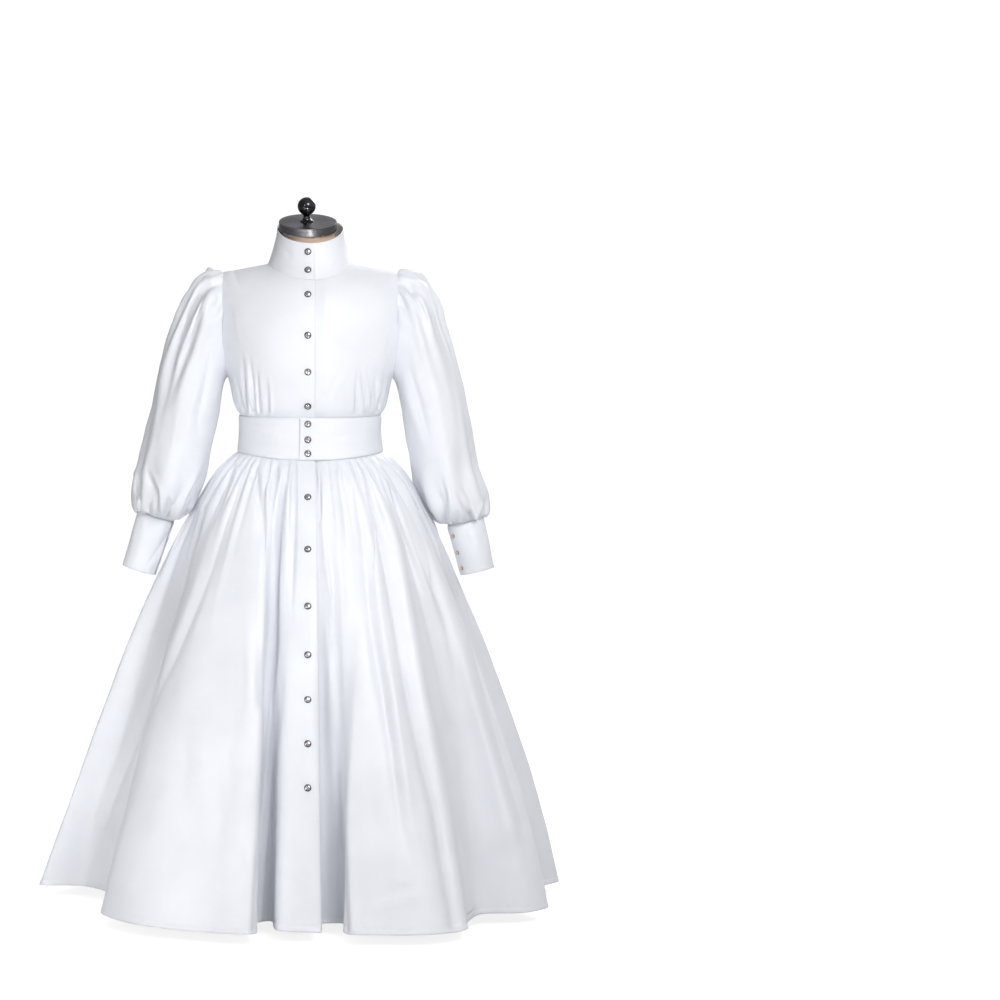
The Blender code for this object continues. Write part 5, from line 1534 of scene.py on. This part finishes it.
def shell_button():
    """Pink-beige shell with a brown rim, glossy and faintly clouded."""
    material = finish_of("shell_button", SHELL_PINK, 0.28, 0.0, Coat_Weight=0.4)
    place = object_place(material)
    radius = radius_from_axis(material, place)
    rim = between(material, radius, 0.0, 1.0, BUTTON_RADIUS * 0.62, BUTTON_RADIUS * 0.86)
    clouds = noise_of(material, place, 500.0, 4.0)
    return into_shader(
        material,
        Base_Color=tint(material, rim, SHELL_PINK, SHELL_RIM),
        Roughness=between(material, clouds, 0.22, 0.36),
        Normal=relief(material, clouds, 0.1, 0.0002),
    )


shell = shell_button()


def cuff_face(cuff, angle, share):
    """Place and outward direction of the cuff's face, for a button."""
    steps = ((0.0, 0.0), (0.02, 0.0), (0.0, 0.02))
    points = [cuff_point(cuff, np.array([angle + turn]), share + step)[0] for turn, step in steps]
    place, beside, below = points
    normal = np.cross(beside - place, below - place)
    normal *= math.copysign(1.0, normal @ (place - cuff_centre(cuff, share)))
    return place, normal / np.linalg.norm(normal)


def make_cuff(word, seed):
    """A band round the wrist, lapped at the opening, with three buttons on its covering end."""
    cuff = CUFFS[word]
    mirror = np.array((cuff.side, 1.0, 1.0))
    lap = math.radians(cuff.lap)
    travel = np.linspace(0.0, 2 * math.pi + lap, CUFF_COLUMNS)
    angle = math.radians(cuff.opening) + cuff.travel_sign * (travel - lap)
    to_edge = (travel[-1] - travel) * CUFF_HALF_WIDTH[0]
    drop = under_layer(lap, CUFF_EASE, travel) - cuff.gape * np.exp(-((to_edge / CUFF_GAPE_REACH) ** 2))
    shares = np.linspace(CUFF_RISE, 1.0, CUFF_ROWS)
    grid = np.stack([cuff_point(cuff, angle, share, drop) for share in shares]) * mirror
    inside = grid.reshape(-1, 3).mean(axis=0)
    normals = grid_normals(grid, inside)
    press_creases(grid, normals, CUFF_CREASES[word])
    wander(grid, normals, CUFF_WAVES, seed)
    for edge in (0, -1):
        pucker(grid, normals, edge_distance(grid, 0, edge), CUFF_PUCKER, seed + edge)
    press_line(grid, normals, edge_distance(grid, 0, 0), CUFF_GROOVE)
    node = "cuff_" + word
    piece = sew(node + "_satin", node, grid, inside, BAND_WALL)
    stitch_band(node, grid, normals, *CUFF_STITCHES)
    for number, share in enumerate(CUFF_BUTTONS, 1):
        button = turned(node + "_shell_" + str(number), (
            (0.0, BUTTON_HEIGHT * 0.72),
            (BUTTON_RADIUS * 0.50, BUTTON_HEIGHT * 0.68),
            (BUTTON_RADIUS * 0.66, BUTTON_HEIGHT * 0.74),
            (BUTTON_RADIUS * 0.78, BUTTON_HEIGHT),
            (BUTTON_RADIUS * 0.90, BUTTON_HEIGHT * 0.94),
            (BUTTON_RADIUS, BUTTON_HEIGHT * 0.55),
            (BUTTON_RADIUS * 0.96, BUTTON_HEIGHT * 0.18),
            (BUTTON_RADIUS * 0.86, 0.0),
            (0.0, 0.0),
        ), 32, shell)
        place, normal = cuff_face(cuff, math.radians(cuff.button_angle), share)
        normal = normal * mirror
        aim(button, place * mirror + normal * BUTTON_LIFT, normal)
        stands_for(button, "cuff_button", node + "_button_" + str(number))


for seed, word in enumerate(CUFFS, 31):
    make_cuff(word, seed)


# The snaps: pressed caps of dark nickel with a rolled rim, set through the covering edge with a ring
# behind it. Two close the collar, four the bodice, three the band and seven the skirt.

SNAP_RADIUS = 0.0073
SNAP_HEIGHT = 0.0032
SNAP_LIFT = 0.0004
NICKEL = (0.52, 0.50, 0.51)
# the next colour is a dark reflection painted in a ring round each snap's dome and rim
NICKEL_PAINTED_DARK_REFLECTION = (0.12, 0.115, 0.12)
SNAPS = {
    "collar": ("collar_satin", (1.3498, 1.3125)),
    "bodice": ("bodice_front_right_satin", (1.2632, 1.1801, 1.1053, 1.0346)),
    "waistband": ("waistband_satin", (0.9977, 0.9655, 0.9371)),
    "skirt": ("skirt_right_satin", (0.8519, 0.7508, 0.6407, 0.5468, 0.4614, 0.3776, 0.2941)),
}


def dark_nickel():
    """Nickel plate with fine handling marks, and a painted dark reflection in a ring over its dome's outer
    part and rim.
    """
    material = finish_of("dark_nickel", NICKEL, 0.18, 1.0)
    place = object_place(material)
    radius = radius_from_axis(material, place)
    # painted dark reflection: a dark ring over the dome's outer part and the rim
    groove = between(material, radius, 0.0, 1.0, SNAP_RADIUS * 0.55, SNAP_RADIUS * 0.85)
    marks = noise_of(material, place, 420.0, 6.0, 0.7)
    return into_shader(
        material,
        Base_Color=tint(material, groove, NICKEL, NICKEL_PAINTED_DARK_REFLECTION),
        Roughness=between(material, marks, 0.20, 0.30),
        Normal=relief(material, marks, 0.06, 0.0002),
    )


nickel = dark_nickel()
snap_dome = [
    (SNAP_RADIUS * 0.80 * math.sin(turn), SNAP_HEIGHT * (0.42 + 0.58 * math.cos(turn)))
    for turn in np.radians(np.arange(0, 88, 11))
]
bpy.context.view_layer.update()
for part, (carrier, heights) in SNAPS.items():
    cloth = bpy.data.objects[carrier].evaluated_get(bpy.context.evaluated_depsgraph_get())
    for number, height in enumerate(heights, 1):
        _, place, normal, _ = cloth.ray_cast(Vector((SNAP_LINE, -1.0, height)), Vector((0.0, 1.0, 0.0)))
        snap = turned("snap_" + part + "_cap_" + str(number), snap_dome + [
            (SNAP_RADIUS * 0.83, SNAP_HEIGHT * 0.36),
            (SNAP_RADIUS * 0.89, SNAP_HEIGHT * 0.42),
            (SNAP_RADIUS * 0.96, SNAP_HEIGHT * 0.38),
            (SNAP_RADIUS, SNAP_HEIGHT * 0.22),
            (SNAP_RADIUS * 0.99, SNAP_HEIGHT * 0.06),
            (SNAP_RADIUS * 0.95, 0.0),
            (0.0, 0.0),
        ], 40, nickel)
        aim(snap, place + normal * SNAP_LIFT, normal)
        stands_for(snap, "snap_nickel", "snap_" + part + "_" + str(number))


# The studio: a wide pale floor under even white light from all round, a soft main light from the viewer's
# right, and a camera straight in front that looks a little down and to the right.

CAMERA_PLACE = Vector((0.0, -6.74, 1.355))
CAMERA_PAN = math.radians(-3.371)
CAMERA_TILT = math.radians(90.0 - 4.424)
CAMERA_ROLL = math.radians(0.267)
CAMERA_LENS = 116.31
FLOOR_HALF = 60.0
FLOOR_PALE = (0.50, 0.495, 0.49)
FLOOR_GLOW = 0.84
ROOM_LEFT = 0.23
ROOM_RIGHT = 0.58
ROOM_TURN = (-0.95, 0.35)  # the light of the room grows from left to right between these
ROOM_WHITE = (0.985, 0.99, 1.0, 1.0)
BACKDROP_WHITE = 1.06


def pale_floor():
    material = finish_of("pale_floor", FLOOR_PALE, 0.7, Emission_Color=(1.0, 1.0, 1.0, 1.0))
    faint = noise_of(material, object_place(material), 0.8, 3.0)
    seen = add_node(material, "LightPath").outputs["Is Camera Ray"]
    return into_shader(
        material,
        Roughness=between(material, faint, 0.65, 0.8),
        Emission_Strength=between(material, seen, 0.0, FLOOR_GLOW, 0.0, 1.0),
    )


def add_softbox(name, power, size, place, towards, spread=180.0, tall=None):
    light = bpy.data.lights.new(name, "AREA")
    light.energy = power
    light.shape = "RECTANGLE"
    light.size = size
    light.size_y = tall or size
    light.spread = math.radians(spread)
    lamp = bpy.data.objects.new(name, light)
    lamp.location = place
    lamp.rotation_mode = "QUATERNION"
    lamp.rotation_quaternion = (Vector(towards) - Vector(place)).to_track_quat("-Z", "Y")
    lamp.visible_camera = False
    bpy.context.scene.collection.objects.link(lamp)


def white_room():
    """Soft light from all round, weaker from the viewer's left, in front of a plain white backdrop."""
    room = bpy.data.worlds.new("white_room")
    room.use_nodes = True
    place = add_node(room, "TexCoord").outputs["Generated"]
    across = add_node(room, "SeparateXYZ", (("Vector", place),)).outputs["X"]
    sides = between(room, across, ROOM_LEFT, ROOM_RIGHT, *ROOM_TURN, interpolation_type="SMOOTHSTEP")
    seen = add_node(room, "LightPath").outputs["Is Camera Ray"]
    strength = between(room, seen, sides, BACKDROP_WHITE, 0.0, 1.0)
    background = room.node_tree.nodes["Background"]
    background.inputs["Color"].default_value = ROOM_WHITE
    room.node_tree.links.new(strength, background.inputs["Strength"])
    return room


floor = mesh_piece("studio_floor", [
    (-FLOOR_HALF, -FLOOR_HALF, 0.0),
    (FLOOR_HALF, -FLOOR_HALF, 0.0),
    (FLOOR_HALF, FLOOR_HALF, 0.0),
    (-FLOOR_HALF, FLOOR_HALF, 0.0),
], [(0, 1, 2, 3)], pale_floor())
add_softbox("main_softbox", 61.0, 1.2, (1.15, -2.95, 3.0), (0.0, -0.1, 1.10))
add_softbox("left_softbox", 9.0, 0.45, (-1.7, -3.2, 2.1), (0.0, -0.1, 1.1))
add_softbox("low_softbox", 2.4, 0.6, (-1.7, -2.2, 0.5), (-0.40, -0.2, 0.25), 55.0)
add_softbox("strip_light", 0.9, 0.10, (0.30, -1.75, 0.40), (0.0, -0.05, 1.4), 60.0, 0.5)
add_softbox("thin_strip_light", 0.25, 0.05, (-0.62, -1.70, 0.40), (0.0, -0.05, 1.4), 60.0, 0.5)
add_softbox("back_softbox", 70.0, 1.5, (1.6, 3.2, 2.9), (0.0, 0.1, 1.0))
bpy.context.scene.world = white_room()
bpy.context.scene.view_settings.view_transform = "Standard"

lens = bpy.data.cameras.new("camera")
lens.lens = CAMERA_LENS
camera = bpy.data.objects.new("camera", lens)
camera.location = CAMERA_PLACE
turns = ((CAMERA_PAN, "Z"), (CAMERA_TILT, "X"), (CAMERA_ROLL, "Z"))
pan, tilt, roll = (Matrix.Rotation(angle, 3, axis) for angle, axis in turns)
camera.rotation_euler = (pan @ tilt @ roll).to_euler()
bpy.context.scene.collection.objects.link(camera)
bpy.context.scene.camera = camera
